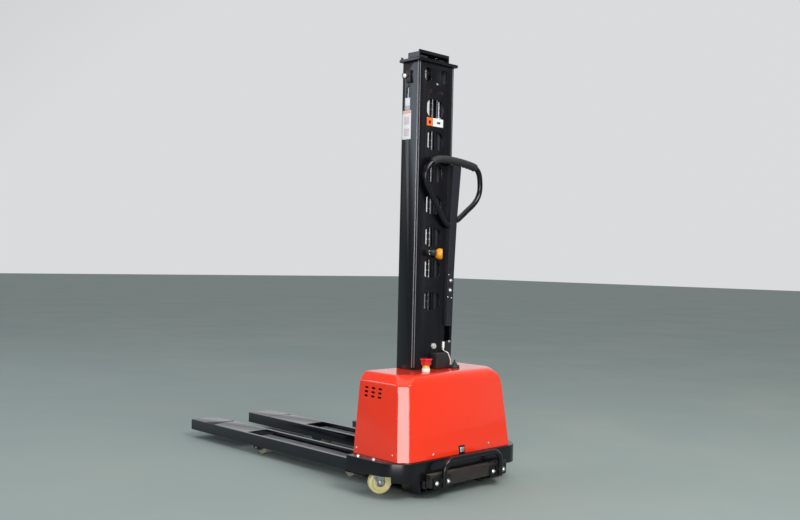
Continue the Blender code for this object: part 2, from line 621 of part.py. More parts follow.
# ---------------------------------------------------------------- hood
def hood_ring(z, hw, front, rear, corner):
    k = corner * 0.16
    return [(hw, front, z), (-hw, front, z), (-hw, rear + corner + k, z), (-hw + k * 0.4, rear + corner, z),
            (-hw + corner, rear + k * 0.4, z), (-hw + corner + k, rear, z), (hw - corner - k, rear, z),
            (hw - corner, rear + k * 0.4, z), (hw - k * 0.4, rear + corner, z), (hw, rear + corner + k, z)]


bm = bmesh.new()
rings = [[bm.verts.new(co) for co in hood_ring(*ring)] for ring in HOOD_RINGS]
for low, high in zip(rings, rings[1:]):
    for i in range(len(low)):
        j = (i + 1) % len(low)
        bm.faces.new((low[i], low[j], high[j], high[i]))
bm.faces.new(rings[-1])
hood = finish("hood", bm, RED)
bm = bmesh.new()
bm.from_mesh(hood.data)
if sum(face.normal.z * face.calc_area() for face in bm.faces) < 0:
    bmesh.ops.reverse_faces(bm, faces=bm.faces)
bm.to_mesh(hood.data)
bm.free()
shell = hood.modifiers.new("Shell", 'SOLIDIFY')
shell.thickness = HOOD_T
shell.offset = -1.0
shell.use_even_offset = True
cut(hood,
    cbox("hood_mast_cut", (-MAST_CUT_X, MAST_CUT_X), (MAST_CUT_Y, -0.470), (0.120, 0.500)),
    cbox("hood_socket_cut", (-0.0185, 0.0185), (-0.780, -0.740), (0.120, 0.1780)))
for row, z in enumerate((0.4070, 0.3910, 0.3750)):
    for col, y in enumerate((-0.5255, -0.5640, -0.6025)):
        slot = rounded_rect(y, z, 0.021, 0.008, 0.0039, 3)
        cut(hood, prism("vent_%d_%d" % (row, col), slot, -0.345, -0.280, axis='X', cutter=True))

# ---------------------------------------------------------------- under the hood
battery = box("battery", (-0.262, -0.012), (-0.725, -0.590), (BASE_TOP_Z + GAP, 0.365), BATTERY)
pump = box("pump_unit", (0.020, 0.140), (-0.725, -0.600), (BASE_TOP_Z + GAP, 0.300), MOTOR)
weld(pump,
     cylinder("pump_motor", (0.190, -0.660, 0.222), 0.055, 0.130, 'X', segments=28, cutter=True),
     cylinder("pump_filler", (0.060, -0.660, 0.310), 0.016, 0.040, 'Z', segments=20, cutter=True))
box("charge_socket", (-0.0168, 0.0168), (-0.7615, -0.7300), (BASE_TOP_Z + GAP, 0.1762), PLASTIC)

# ---------------------------------------------------------------- console post
front_y = MAST_REAR_Y - GAP


def post_mesh(name, inset, mat=None, cutter=False):
    """The tapered channel; inset gives the hollow that is open toward the mast."""
    bm = bmesh.new()
    rows = []
    for z, back in POST_BACK:
        f = (z - POST_LOW_Z) / (POST_TOP_Z - POST_LOW_Z)
        right = POST_X1_LOW + (POST_X1_TOP - POST_X1_LOW) * f
        zz = z
        if inset and z == POST_BACK[0][0]:
            zz = z + inset
        if inset and z == POST_BACK[-1][0]:
            zz = z - inset
        y_front = front_y + (0.010 if inset else 0.0)
        rows.append([bm.verts.new(co) for co in (
            (POST_X0 + inset, y_front, zz), (POST_X0 + inset, back + inset, zz),
            (right - inset, back + inset, zz), (right - inset, y_front, zz))])
    for low, high in zip(rows, rows[1:]):
        for i in range(4):
            j = (i + 1) % 4
            bm.faces.new((low[i], low[j], high[j], high[i]))
    bm.faces.new(rows[0])
    bm.faces.new(rows[-1])
    return finish(name, bm, mat, cutter=cutter)


post = post_mesh("console_post", 0.0, BLACK)
cut(post, post_mesh("post_hollow", POST_WALL, cutter=True))

# loop handle: a teardrop of tube with both ends on the post's sides
def loop_point(knots, beyond, s):
    """Centre line on one half, s from 0 (post) to 1 (middle of the grip)."""
    n = len(knots) - 1
    t = s * n
    i = min(int(t), n - 1)
    f = t - i
    p0 = knots[max(i - 1, 0)]
    p1, p2 = knots[i], knots[i + 1]
    p3 = knots[i + 2] if i + 2 <= n else beyond
    return tuple(0.5 * (2 * b + (c - a) * f + (2 * a - 5 * b + 4 * c - d) * f * f
                        + (3 * b - a - 3 * c + d) * f * f * f)
                 for a, b, c, d in zip(p0, p1, p2, p3))


# offset from the post's middle, depth, height
LOOP_LEFT = [(-0.0320, -0.5925, 1.0600), (-0.0560, -0.5925, 1.0800), (-0.0960, -0.5925, 1.1320),
             (-0.1340, -0.5925, 1.1820), (-0.1640, -0.5930, 1.2270), (-0.1690, -0.5950, 1.2680),
             (-0.1490, -0.5990, 1.3030), (-0.1150, -0.6040, 1.3240), (-0.0700, -0.6090, 1.3290),
             (0.0, -0.6110, 1.3262)]
LOOP_RIGHT = [(0.0300, -0.5925, 1.0840), (0.0590, -0.5925, 1.1039), (0.0902, -0.5925, 1.1268),
              (0.1313, -0.5925, 1.1566), (0.1580, -0.5935, 1.1891), (0.1680, -0.5945, 1.2265),
              (0.1595, -0.5980, 1.2760), (0.1410, -0.6010, 1.3015), (0.1130, -0.6040, 1.3134),
              (0.0600, -0.6078, 1.3210), (0.0, -0.6110, 1.3262)]
HALF_STEPS = 18
left_half = [loop_point(LOOP_LEFT, LOOP_RIGHT[-2], i / HALF_STEPS) for i in range(HALF_STEPS + 1)]
right_half = [loop_point(LOOP_RIGHT, LOOP_LEFT[-2], i / HALF_STEPS) for i in range(HALF_STEPS + 1)]
f = (LOOP_RIGHT[0][2] - POST_LOW_Z) / (POST_TOP_Z - POST_LOW_Z)
post_right = POST_X1_LOW + (POST_X1_TOP - POST_X1_LOW) * f
centre_line = [(LOOP_X + x, y, z) for x, y, z in left_half]
centre_line += [(LOOP_X + x, y, z) for x, y, z in reversed(right_half[:-1])]
first = (POST_X0 - 0.0010, centre_line[0][1], centre_line[0][2])
last = (post_right + 0.0016, centre_line[-1][1], centre_line[-1][2])
centre_line = [first] + centre_line + [last]
tube("loop_handle", centre_line, LOOP_TUBE_R, BLACK, 3)
grip_points = [p for p in centre_line if p[2] > 1.3100]
grip = tube("handle_grip", grip_points, GRIP_R, RUBBER, 3)
cut(grip, tube("grip_bore", centre_line, LOOP_TUBE_R + GAP, resolution=3, cutter=True))

# ---------------------------------------------------------------- controls
box("switch_box", (-0.0040, 0.0755), (-0.6180, MAST_REAR_Y - GAP), (0.4665 + GAP, 0.5310), PLASTIC)

# lift lever: hub on the rear plate, arm to the right, ball knob
LEVER = (-0.0330, -0.5860, 0.9430)
ax_lever = empty("lift_lever_axis", LEVER)
lever = cylinder("lift_lever", (LEVER[0], -0.5875, LEVER[2]), 0.0120, 0.0180, 'Y', PLASTIC, 24, origin=LEVER)
weld(lever, cylinder("lever_arm", (LEVER[0] + 0.0180, -0.5920, LEVER[2]), 0.0050, 0.0300, 'X',
                     segments=16, cutter=True))
knob_r = 0.0225
profile = [(0.0, knob_r)] + [(knob_r * math.sin(math.radians(a)), knob_r * math.cos(math.radians(a)))
                             for a in range(18, 180, 18)] + [(0.0, -knob_r)]
knob = turned("lever_knob", profile, (0.0205, -0.6020, 0.9395), 'Z', ORANGE, 20, closed=False)
cut(knob, cylinder("knob_seat", (-0.0100, -0.5920, LEVER[2]), 0.0053, 0.0240, 'X', segments=16, cutter=True))
hang(ax_lever, lever, knob)

# key switch: bezel, and the rotor that turns in it
KEY = (0.0138, -0.5783, 0.5580)
bezel = turned("key_switch", [(0.0073, 0.0), (0.0073, 0.0080), (0.0100, 0.0080), (0.0108, 0.0060), (0.0108, 0.0)],
               KEY, Matrix.Rotation(math.pi / 2, 4, 'X'), ZINC, 28)
ax_key = empty("key_axis", KEY)
rotor = cylinder("key_rotor", (KEY[0], -0.5826, KEY[2]), 0.0069, 0.0084, 'Y', STEEL, 24, origin=KEY)
cut(rotor, cbox("key_slot", (KEY[0] - 0.0012, KEY[0] + 0.0012), (-0.590, -0.5836), (KEY[2] - 0.0045, KEY[2] + 0.0045)))
hang(ax_key, rotor)

# emergency stop: white base, yellow ring, red mushroom
STOP = (-0.1060, -0.6550)
turned("estop_base", [(0.0, 0.4808), (0.0150, 0.4808), (0.0163, 0.4795), (0.0163, 0.4663), (0.0, 0.4663)],
       (*STOP, 0), 'Z', WHITE, 28, closed=False)
turned("estop_ring", [(0.0, 0.4985), (0.0135, 0.4985), (0.0135, 0.4811), (0.0, 0.4811)],
       (*STOP, 0), 'Z', YELLOW, 28, closed=False)
ax_stop = empty("estop_axis", (*STOP, 0.505))
stop = turned("estop_button",
              [(0.0, 0.5200), (0.0180, 0.5200), (0.0235, 0.5185), (0.0248, 0.5165), (0.0235, 0.5145),
               (0.0200, 0.5100), (0.0195, 0.4935), (0.0143, 0.4935), (0.0143, 0.5040), (0.0, 0.5040)],
              (*STOP, 0), 'Z', BUTTON, 24, closed=False)
hang(ax_stop, stop)

# booted toggle on the hood's top
BOOT = (0.0980, -0.6230)
turned("toggle_base", [(0.0, 0.4700), (0.0205, 0.4700), (0.0215, 0.4690), (0.0215, 0.4663), (0.0, 0.4663)],
       (*BOOT, 0), 'Z', PLASTIC, 28, closed=False)
ax_boot = empty("toggle_axis", (*BOOT, 0.4720))
boot = turned("toggle_boot",
              [(0.0, 0.5010), (0.0028, 0.5005), (0.0034, 0.4990), (0.0034, 0.4925), (0.0075, 0.4895),
               (0.0115, 0.4850), (0.0150, 0.4790), (0.0165, 0.4735), (0.0, 0.4735)],
              (*BOOT, 0), 'Z', RUBBER, 20, closed=False)
hang(ax_boot, boot)

# limit switch on the mast's left face
LIMIT = (-0.1145, -0.5220, 1.6640)
box("limit_switch", (-0.1130, -MAST_HALF_W - GAP), (-0.5330, -0.5110), (1.6360, 1.6880), PLASTIC)
ax_limit = empty("limit_arm_axis", LIMIT)
arm = [(LIMIT[1] - 0.0050, 1.6590), (LIMIT[1] - 0.0050, 1.6690), (-0.5090, 1.6720), (-0.5000, 1.6705),
       (-0.4975, 1.6655), (-0.5020, 1.6610)]
limit_arm = prism("limit_arm", arm, -0.1155, -0.1133, axis='X', mat=STEEL, origin=LIMIT)
weld(limit_arm, cylinder("limit_roller_disc", (-0.1190, -0.5050, 1.6665), 0.0080, 0.0078, 'X', segments=20,
                         cutter=True))
hang(ax_limit, limit_arm)

# connector and its short lead down to the switch box
box("cable_connector", (0.0600, 0.0762), (-0.5900, MAST_REAR_Y - GAP), (0.5420, 0.5780), WHITE)


def smooth_route(knots, per=4):
    out = []
    n = len(knots)
    for i in range(n - 1):
        p0, p1, p2, p3 = knots[max(i - 1, 0)], knots[i], knots[i + 1], knots[min(i + 2, n - 1)]
        for k in range(per):
            f = k / per
            out.append(tuple(0.5 * (2 * b + (c - a) * f + (2 * a - 5 * b + 4 * c - d) * f * f
                                    + (3 * b - a - 3 * c + d) * f ** 3)
                             for a, b, c, d in zip(p0, p1, p2, p3)))
    out.append(tuple(knots[-1]))
    return out


CABLE_KNOTS = [(0.0680, -0.5850, 0.5410), (0.0680, -0.5862, 0.5370), (0.0685, -0.5950, 0.5355), (0.0700, -0.6080, 0.5375),
               (0.0740, -0.6190, 0.5345), (0.0830, -0.6240, 0.5180), (0.0905, -0.6110, 0.5030),
               (0.0930, -0.6000, 0.4850), (0.0930, -0.5985, 0.4664)]
tube("connector_cable", smooth_route(CABLE_KNOTS), 0.0020, WHITE, 2)
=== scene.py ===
import json
import math

import bmesh
import bpy
from mathutils import Matrix, Vector

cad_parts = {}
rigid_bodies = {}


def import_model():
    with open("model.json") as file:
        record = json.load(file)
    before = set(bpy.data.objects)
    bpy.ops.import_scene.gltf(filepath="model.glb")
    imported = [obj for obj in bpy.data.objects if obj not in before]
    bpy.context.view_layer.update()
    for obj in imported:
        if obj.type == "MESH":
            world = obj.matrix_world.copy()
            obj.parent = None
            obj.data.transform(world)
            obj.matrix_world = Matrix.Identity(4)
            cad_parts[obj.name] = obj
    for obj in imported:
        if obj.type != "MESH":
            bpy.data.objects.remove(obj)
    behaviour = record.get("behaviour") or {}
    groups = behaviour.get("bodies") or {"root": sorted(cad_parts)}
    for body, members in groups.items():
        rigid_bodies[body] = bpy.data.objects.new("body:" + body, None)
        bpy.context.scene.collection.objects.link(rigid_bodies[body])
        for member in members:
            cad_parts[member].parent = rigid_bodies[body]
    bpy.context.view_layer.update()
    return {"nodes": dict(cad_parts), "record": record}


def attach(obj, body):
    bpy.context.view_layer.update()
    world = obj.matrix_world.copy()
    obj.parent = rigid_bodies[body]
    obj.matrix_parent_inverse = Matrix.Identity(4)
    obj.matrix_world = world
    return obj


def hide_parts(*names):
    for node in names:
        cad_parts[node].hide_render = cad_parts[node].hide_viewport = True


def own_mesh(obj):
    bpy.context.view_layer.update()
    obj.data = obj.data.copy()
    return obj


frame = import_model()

RECORD = frame["record"]
NODE_BODY = {n: b for b, ns in RECORD["behaviour"]["bodies"].items() for n in ns}
NODE_SLOT = {s["node"]: s["material_slot"] for s in RECORD["subparts"]}
SIDES = (("left", -1), ("right", 1))
scene = bpy.context.scene
scene.view_settings.view_transform = "Standard"


# ------------------------------------------------------------------ camera
def make_camera():
    az, pitch, roll = math.radians(-44.449), math.radians(-0.1576), math.radians(1.2803)
    fwd = Vector((-math.sin(az) * math.cos(pitch), math.cos(az) * math.cos(pitch), -math.sin(pitch)))
    right = Vector((math.cos(az), math.sin(az), 0.0))
    up = right.cross(fwd)
    r2 = math.cos(roll) * right + math.sin(roll) * up
    u2 = -math.sin(roll) * right + math.cos(roll) * up
    at = Vector((-2.7703, -3.2094, 0.8997))
    cam = bpy.data.objects.new("camera", bpy.data.cameras.new("camera"))
    cam.data.sensor_width = 36.0
    cam.data.lens = 925.6 * 36.0 / 800.0
    cam.data.clip_start, cam.data.clip_end = 0.05, 200.0
    cam.matrix_world = Matrix(((r2.x, u2.x, -fwd.x, at.x), (r2.y, u2.y, -fwd.y, at.y),
                               (r2.z, u2.z, -fwd.z, at.z), (0, 0, 0, 1)))
    scene.collection.objects.link(cam)
    scene.camera = cam


make_camera()


# ------------------------------------------------------------------ materials
class Net:
    """A small helper for wiring shader nodes."""

    def __init__(self, name):
        self.mat = bpy.data.materials.new(name)
        self.mat.use_nodes = True
        self.tree = self.mat.node_tree
        self.tree.nodes.clear()
        self.out = self.tree.nodes.new("ShaderNodeOutputMaterial")
        self.bsdf = self.tree.nodes.new("ShaderNodeBsdfPrincipled")
        self.tree.links.new(self.bsdf.outputs[0], self.out.inputs[0])
        self.coord = self.tree.nodes.new("ShaderNodeTexCoord").outputs["Object"]

    def node(self, kind, **values):
        n = self.tree.nodes.new(kind)
        for key, value in values.items():
            setattr(n, key, value)
        return n

    def link(self, a, b):
        self.tree.links.new(a, b)

    def put(self, socket, value):
        if hasattr(value, "links") or isinstance(value, bpy.types.NodeSocket):
            self.link(value, socket)
        else:
            socket.default_value = value

    def stretch(self, scale):
        m = self.node("ShaderNodeMapping")
        m.inputs["Scale"].default_value = scale
        self.link(self.coord, m.inputs["Vector"])
        return m.outputs[0]

    def noise(self, scale, detail=3.0, rough=0.5, vector=None):
        n = self.node("ShaderNodeTexNoise")
        n.inputs["Scale"].default_value = scale
        n.inputs["Detail"].default_value = detail
        n.inputs["Roughness"].default_value = rough
        self.link(vector or self.coord, n.inputs["Vector"])
        return n.outputs["Fac"]

    def span(self, value, a, b, low, high, smooth=False):
        n = self.node("ShaderNodeMapRange")
        if smooth:
            n.interpolation_type = "SMOOTHSTEP"
        self.put(n.inputs["Value"], value)
        for key, v in (("From Min", a), ("From Max", b), ("To Min", low), ("To Max", high)):
            n.inputs[key].default_value = v
        return n.outputs[0]

    def math(self, op, a, b=0.0):
        n = self.node("ShaderNodeMath", operation=op)
        self.put(n.inputs[0], a)
        self.put(n.inputs[1], b)
        return n.outputs[0]

    def mix(self, fac, a, b):
        n = self.node("ShaderNodeMix", data_type="RGBA")
        self.put(n.inputs[0], fac)
        for socket, v in ((n.inputs[6], a), (n.inputs[7], b)):
            self.put(socket, v if isinstance(v, bpy.types.NodeSocket) else (*v, 1.0))
        return n.outputs[2]

    def edge(self, radius, samples=4):
        """1 near sharp edges, 0 on flats."""
        bev = self.node("ShaderNodeBevel", samples=samples)
        bev.inputs["Radius"].default_value = radius
        geo = self.node("ShaderNodeNewGeometry")
        dot = self.node("ShaderNodeVectorMath", operation="DOT_PRODUCT")
        self.link(bev.outputs[0], dot.inputs[0])
        self.link(geo.outputs["Normal"], dot.inputs[1])
        return self.span(dot.outputs["Value"], 0.995, 0.80, 0.0, 1.0)

    def up(self):
        geo = self.node("ShaderNodeNewGeometry")
        sep = self.node("ShaderNodeSeparateXYZ")
        self.link(geo.outputs["Normal"], sep.inputs[0])
        return self.span(sep.outputs["Z"], 0.35, 0.95, 0.0, 1.0, True)


def scaled(c, k):
    return tuple(min(1.0, v * k) for v in c)


def surface(name, colour, rough, metallic=0.0, vary=0.12, vary_scale=5.0, rough_vary=0.07, rough_scale=14.0,
            bump=0.12, bump_scale=700.0, bump_dist=0.0003, wear=None, wear_radius=0.0016, wear_level=0.55,
            dust=0.0, dust_colour=(0.42, 0.42, 0.40), coat=0.0, coat_rough=0.08, coat_ior=1.5, spec=0.5, grain=None, grain_level=0.0):
    """Painted, plated or moulded surface: tone variation, worn edges, settled dust, uneven gloss and fine relief."""
    n = Net(name)
    b = n.bsdf
    cloud = n.noise(vary_scale, 5.0, 0.6)
    tone = n.mix(n.span(cloud, 0.3, 0.7, 0.0, 1.0), scaled(colour, 1 - vary), scaled(colour, 1 + vary))
    gloss = n.span(n.noise(rough_scale, 4.0, 0.6), 0.3, 0.7, max(0.02, rough - rough_vary), min(1.0, rough + rough_vary))
    if dust:
        film = n.math("MULTIPLY", n.up(), n.span(n.noise(22.0, 6.0, 0.7), 0.35, 0.75, 0.25 * dust, dust))
        tone = n.mix(film, tone, dust_colour)
        gloss = n.math("ADD", gloss, n.math("MULTIPLY", film, 0.35))
    if wear:
        chips = n.math("MULTIPLY", n.edge(wear_radius), n.span(n.noise(90.0, 5.0, 0.75), 0.42, 0.62, 0.0, wear_level, True))
        tone = n.mix(chips, tone, wear)
        gloss = n.math("ADD", gloss, n.math("MULTIPLY", chips, 0.12))
    n.link(tone, b.inputs["Base Color"])
    n.link(gloss, b.inputs["Roughness"])
    b.inputs["Metallic"].default_value = metallic
    b.inputs["Specular IOR Level"].default_value = spec
    if coat:
        b.inputs["Coat Weight"].default_value = coat
        b.inputs["Coat Roughness"].default_value = coat_rough
        b.inputs["Coat IOR"].default_value = coat_ior
    height = n.noise(bump_scale, 2.0, 0.5)
    if grain:
        fine = n.noise(260.0, 4.0, 0.6, n.stretch(grain))
        height = n.math("ADD", height, n.math("MULTIPLY", fine, grain_level))
    bp = n.node("ShaderNodeBump")
    bp.inputs["Strength"].default_value = bump
    bp.inputs["Distance"].default_value = bump_dist
    n.link(height, bp.inputs["Height"])
    n.link(bp.outputs[0], b.inputs["Normal"])
    n.mat.diffuse_color = (*colour, 1.0)
    return n.mat


BARE = (0.34, 0.33, 0.32)
BLACK = surface("black_powder_coat", (0.0032, 0.0032, 0.0056), 0.25, vary=0.15, wear=BARE, wear_radius=0.0013, wear_level=0.25,
                rough_vary=0.02, rough_scale=6.0, bump=0.04, bump_scale=300.0, bump_dist=0.0002, dust=0.01, spec=0.42)
BASEPAINT = surface("black_base_paint", (0.0060, 0.0060, 0.0074), 0.50, vary=0.2, wear=BARE, wear_radius=0.0013, wear_level=0.12,
                    rough_vary=0.04, rough_scale=9.0, bump=0.08, bump_scale=300.0, bump_dist=0.0003, dust=0.04, spec=0.12)
# mid grey on the mast's rear corner strips: painted highlight for the bright corner line, with edge wear on top
CORNER = surface("worn_corner_paint", (0.205, 0.203, 0.212), 0.28, vary=0.18, vary_scale=9.0, bump=0.05, wear=BARE, wear_radius=0.001,
                 wear_level=0.3)
FORKPAINT = surface("black_fork_paint", (0.0050, 0.0047, 0.0090), 0.10, vary=0.22, wear=BARE, wear_radius=0.0016, wear_level=0.40,
                    rough_vary=0.025, rough_scale=8.0, bump=0.02, bump_scale=300.0, bump_dist=0.0002, dust=0.02, dust_colour=(0.30, 0.30, 0.32),
                    spec=0.6, grain=(1.0, 0.06, 1.0), grain_level=0.5)
# leg tops in a paler grey than the fork paint, with settled dust
LEGTOP = surface("rubbed_leg_top", (0.105, 0.108, 0.118), 0.44, vary=0.30, vary_scale=14.0, rough_vary=0.08, bump=0.10, bump_scale=260.0,
                 dust=0.20, dust_colour=(0.22, 0.22, 0.23), spec=0.4, grain=(1.0, 0.05, 1.0), grain_level=0.8)
# duller patch that paints the dark band seen in the fork nose's reflection
MATTPATCH = surface("scuffed_fork_paint", (0.020, 0.020, 0.026), 0.62, vary=0.2, bump=0.25, bump_scale=300.0, spec=0.3)
POSTPAINT = surface("black_post_paint", (0.014, 0.014, 0.020), 0.36, vary=0.14, wear=BARE, wear_radius=0.0012, wear_level=0.35,
                    bump=0.25, bump_scale=500.0, bump_dist=0.0004, dust=0.04)
SATIN = surface("satin_black_paint", (0.015, 0.016, 0.020), 0.36, vary=0.2, wear=BARE, wear_radius=0.0012, wear_level=0.5,
                bump=0.2, bump_scale=450.0, dust=0.05, grain=(1.0, 1.0, 0.04), grain_level=0.8)
RED = surface("orange_red_paint", (0.84, 0.036, 0.009), 0.36, vary=0.025, vary_scale=3.0, rough_vary=0.04, wear=(0.62, 0.20, 0.14),
              wear_radius=0.0008, wear_level=0.15, bump=0.02, bump_scale=220.0, bump_dist=0.0002, coat=1.0, coat_rough=0.045, coat_ior=1.5, dust=0.010,
              dust_colour=(0.75, 0.40, 0.34), spec=0.12)
ZINC = surface("bright_zinc", (0.66, 0.67, 0.66), 0.30, 1.0, vary=0.10, vary_scale=30.0, rough_vary=0.10, rough_scale=60.0,
               bump=0.10, bump_scale=900.0)
STEEL = surface("turned_steel", (0.55, 0.54, 0.52), 0.27, 1.0, vary=0.10, vary_scale=24.0, rough_vary=0.09, bump=0.12,
                grain=(0.08, 1.0, 1.0), grain_level=1.2)
CHROME = surface("hard_chrome", (0.78, 0.79, 0.80), 0.09, 1.0, vary=0.03, rough_vary=0.03, bump=0.03, grain=(1, 1, 0.05), grain_level=0.6)
ROD = surface("oiled_rod", (0.17, 0.17, 0.195), 0.26, 1.0, vary=0.10, rough_vary=0.05, bump=0.03, grain=(1, 1, 0.05), grain_level=0.6)
BARREL = surface("dull_barrel_paint", (0.0040, 0.0040, 0.0060), 0.52, vary=0.2, bump=0.1, dust=0.04, spec=0.25)
CHAIN = surface("oiled_chain_steel", (0.030, 0.027, 0.025), 0.50, 0.70, vary=0.3, vary_scale=60.0, rough_vary=0.12, bump=0.2, bump_scale=600.0)
RUBBER = surface("grip_rubber", (0.017, 0.017, 0.018), 0.62, vary=0.15, bump=0.45, bump_scale=900.0, bump_dist=0.0004,
                 dust=0.06, wear=(0.07, 0.07, 0.07), wear_radius=0.002, wear_level=0.5)
PLASTIC = surface("moulded_black_plastic", (0.016, 0.016, 0.018), 0.45, vary=0.1, bump=0.35, bump_scale=1300.0, bump_dist=0.0003,
                  dust=0.05, wear=(0.08, 0.08, 0.085), wear_radius=0.0012, wear_level=0.4)
CREAM = surface("cream_polyurethane", (0.86, 0.77, 0.38), 0.38, vary=0.06, vary_scale=22.0, bump=0.18, bump_scale=350.0,
                wear=(0.36, 0.32, 0.22), wear_radius=0.004, wear_level=0.45, spec=0.4)
ORANGE = surface("orange_knob", (0.86, 0.33, 0.008), 0.24, vary=0.06, vary_scale=30.0, bump=0.04, coat=0.5, wear=(0.7, 0.35, 0.1),
                 wear_radius=0.001, wear_level=0.3)
STOPRED = surface("stop_red", (0.62, 0.012, 0.014), 0.26, vary=0.05, vary_scale=20.0, bump=0.06, coat=0.4, wear=(0.5, 0.1, 0.08),
                  wear_radius=0.001, wear_level=0.3)
YELLOW = surface("stop_yellow", (0.83, 0.58, 0.03), 0.36, vary=0.06, bump=0.1)
WHITE = surface("white_nylon", (0.80, 0.80, 0.78), 0.36, vary=0.05, vary_scale=40.0, bump=0.12, bump_scale=900.0,
                wear=(0.6, 0.6, 0.55), wear_radius=0.001, wear_level=0.3)
# grey tone for the wheels under the legs: road grime plus painted shade
GREYWHEEL = surface("road_grimed_polyurethane", (0.36, 0.34, 0.26), 0.55, vary=0.15, vary_scale=40.0, bump=0.3, bump_scale=300.0, dust=0.15)
EYELET = surface("eyelet_red", (0.13, 0.020, 0.016), 0.4, vary=0.2, bump=0.1)
IVORY = surface("ivory_nylon", (0.66, 0.62, 0.44), 0.40, vary=0.06, bump=0.12)
CASE = surface("battery_case", (0.045, 0.046, 0.05), 0.5, vary=0.12, bump=0.3, bump_scale=800.0, dust=0.12)
MOTOR = surface("motor_enamel", (0.09, 0.10, 0.115), 0.36, vary=0.15, bump=0.25, bump_scale=220.0, dust=0.10, wear=BARE, wear_level=0.4)
LABEL_WHITE = surface("label_white", (0.78, 0.77, 0.77), 0.30, vary=0.04, vary_scale=50.0, bump=0.05, bump_scale=200.0)
LABEL_GREY = surface("label_grey", (0.40, 0.42, 0.47), 0.30, vary=0.06, vary_scale=50.0, bump=0.05)
LABEL_ORANGE = surface("label_orange", (0.84, 0.16, 0.03), 0.28, vary=0.05, bump=0.05)
LABEL_ROSE = surface("label_rose", (0.66, 0.52, 0.55), 0.30, vary=0.05, bump=0.05)
LABEL_PEACH = surface("label_peach", (0.80, 0.42, 0.30), 0.30, vary=0.05, bump=0.05)
INK = surface("label_ink", (0.02, 0.02, 0.02), 0.4, vary=0.05, bump=0.05)
SHADOW = surface("deep_black", (0.0008, 0.0008, 0.001), 0.95, vary=0.1, bump=0.1, rough_vary=0.03, spec=0.02)
KEYFACE = surface("satin_zinc", (0.70, 0.72, 0.70), 0.55, 0.6, vary=0.08, vary_scale=60.0, bump=0.1)
GRIMED = surface("grimed_fork_paint", (0.022, 0.018, 0.015), 0.34, vary=0.3, vary_scale=20.0, bump=0.12, dust=0.55, dust_colour=(0.16, 0.125, 0.10))
WELD = surface("painted_weld", (0.018, 0.018, 0.022), 0.45, vary=0.2, bump=0.6, bump_scale=240.0, bump_dist=0.0008, dust=0.05)

SLOT_LOOK = {"black_paint": BLACK, "satin_black_paint": SATIN, "red_paint": RED, "zinc_plate": ZINC, "chrome_rod": CHROME,
             "bright_steel": STEEL, "chain_steel": CHAIN, "black_rubber": RUBBER, "black_plastic": PLASTIC,
             "cream_polyurethane": CREAM, "orange_knob": ORANGE, "red_button": STOPRED, "yellow_ring": YELLOW,
             "white_plastic": WHITE, "battery_case": CASE, "motor_paint": MOTOR}
MAT_SLOT = {m.name: s for s, m in SLOT_LOOK.items()}
MAT_SLOT.update({FORKPAINT.name: "black_paint", MATTPATCH.name: "black_paint", GREYWHEEL.name: "cream_polyurethane",
                 EYELET.name: "red_button", CORNER.name: "black_paint", LEGTOP.name: "black_paint", BASEPAINT.name: "black_paint", ROD.name: "chrome_rod", BARREL.name: "black_paint", KEYFACE.name: "zinc_plate", GRIMED.name: "black_paint", POSTPAINT.name: "black_paint", WELD.name: "black_paint", IVORY.name: "white_plastic",
                 LABEL_WHITE.name: "white_plastic", LABEL_GREY.name: "white_plastic", LABEL_ORANGE.name: "orange_knob",
                 LABEL_ROSE.name: "white_plastic", LABEL_PEACH.name: "orange_knob", INK.name: "black_plastic",
                 SHADOW.name: "black_plastic"})
taken = set()


# ------------------------------------------------------------------ mesh helpers
def make(name, bm, mat, body, stands_for=(), smooth=38.0):
    bmesh.ops.recalc_face_normals(bm, faces=bm.faces)
    mesh = bpy.data.meshes.new(name)
    bm.to_mesh(mesh)
    bm.free()
    mesh.materials.append(mat)
    obj = bpy.data.objects.new(name, mesh)
    scene.collection.objects.link(obj)
    mesh.shade_smooth()
    if smooth is not None:
        mesh.set_sharp_from_angle(angle=math.radians(smooth))
    return settle(obj, body, stands_for)


def settle(obj, body, stands_for=()):
    if body is not None:
        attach(obj, body)
        if stands_for:
            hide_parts(*stands_for)
            taken.update(stands_for)
    return obj


def round_edges(obj, width, segments=3, angle=30.0):
    mod = obj.modifiers.new("Round", "BEVEL")
    mod.width = width
    mod.segments = segments
    mod.limit_method = "ANGLE"
    mod.angle_limit = math.radians(angle)
    mod.use_clamp_overlap = True
    mod.harden_normals = True
    return obj


def bake(obj):
    """Turn the modifiers into mesh."""
    deps = bpy.context.evaluated_depsgraph_get()
    mesh = bpy.data.meshes.new_from_object(obj.evaluated_get(deps))
    obj.modifiers.clear()
    obj.data = mesh
    return obj


def refined(node, width=0.0010, segments=3, mat=None, angle=28.0, suffix="_look"):
    """The CAD shape with its facets merged and its edges rounded."""
    src = frame["nodes"][node]
    bm = bmesh.new()
    bm.from_mesh(src.data)
    bmesh.ops.remove_doubles(bm, verts=bm.verts, dist=0.000012)
    bmesh.ops.dissolve_limit(bm, angle_limit=math.radians(0.6), verts=bm.verts, edges=bm.edges)
    mat = mat or SLOT_LOOK[NODE_SLOT[node]]
    obj = make(node + suffix, bm, mat, NODE_BODY[node], (node,), smooth=None)
    if width:
        round_edges(obj, width, segments, angle)
    return obj


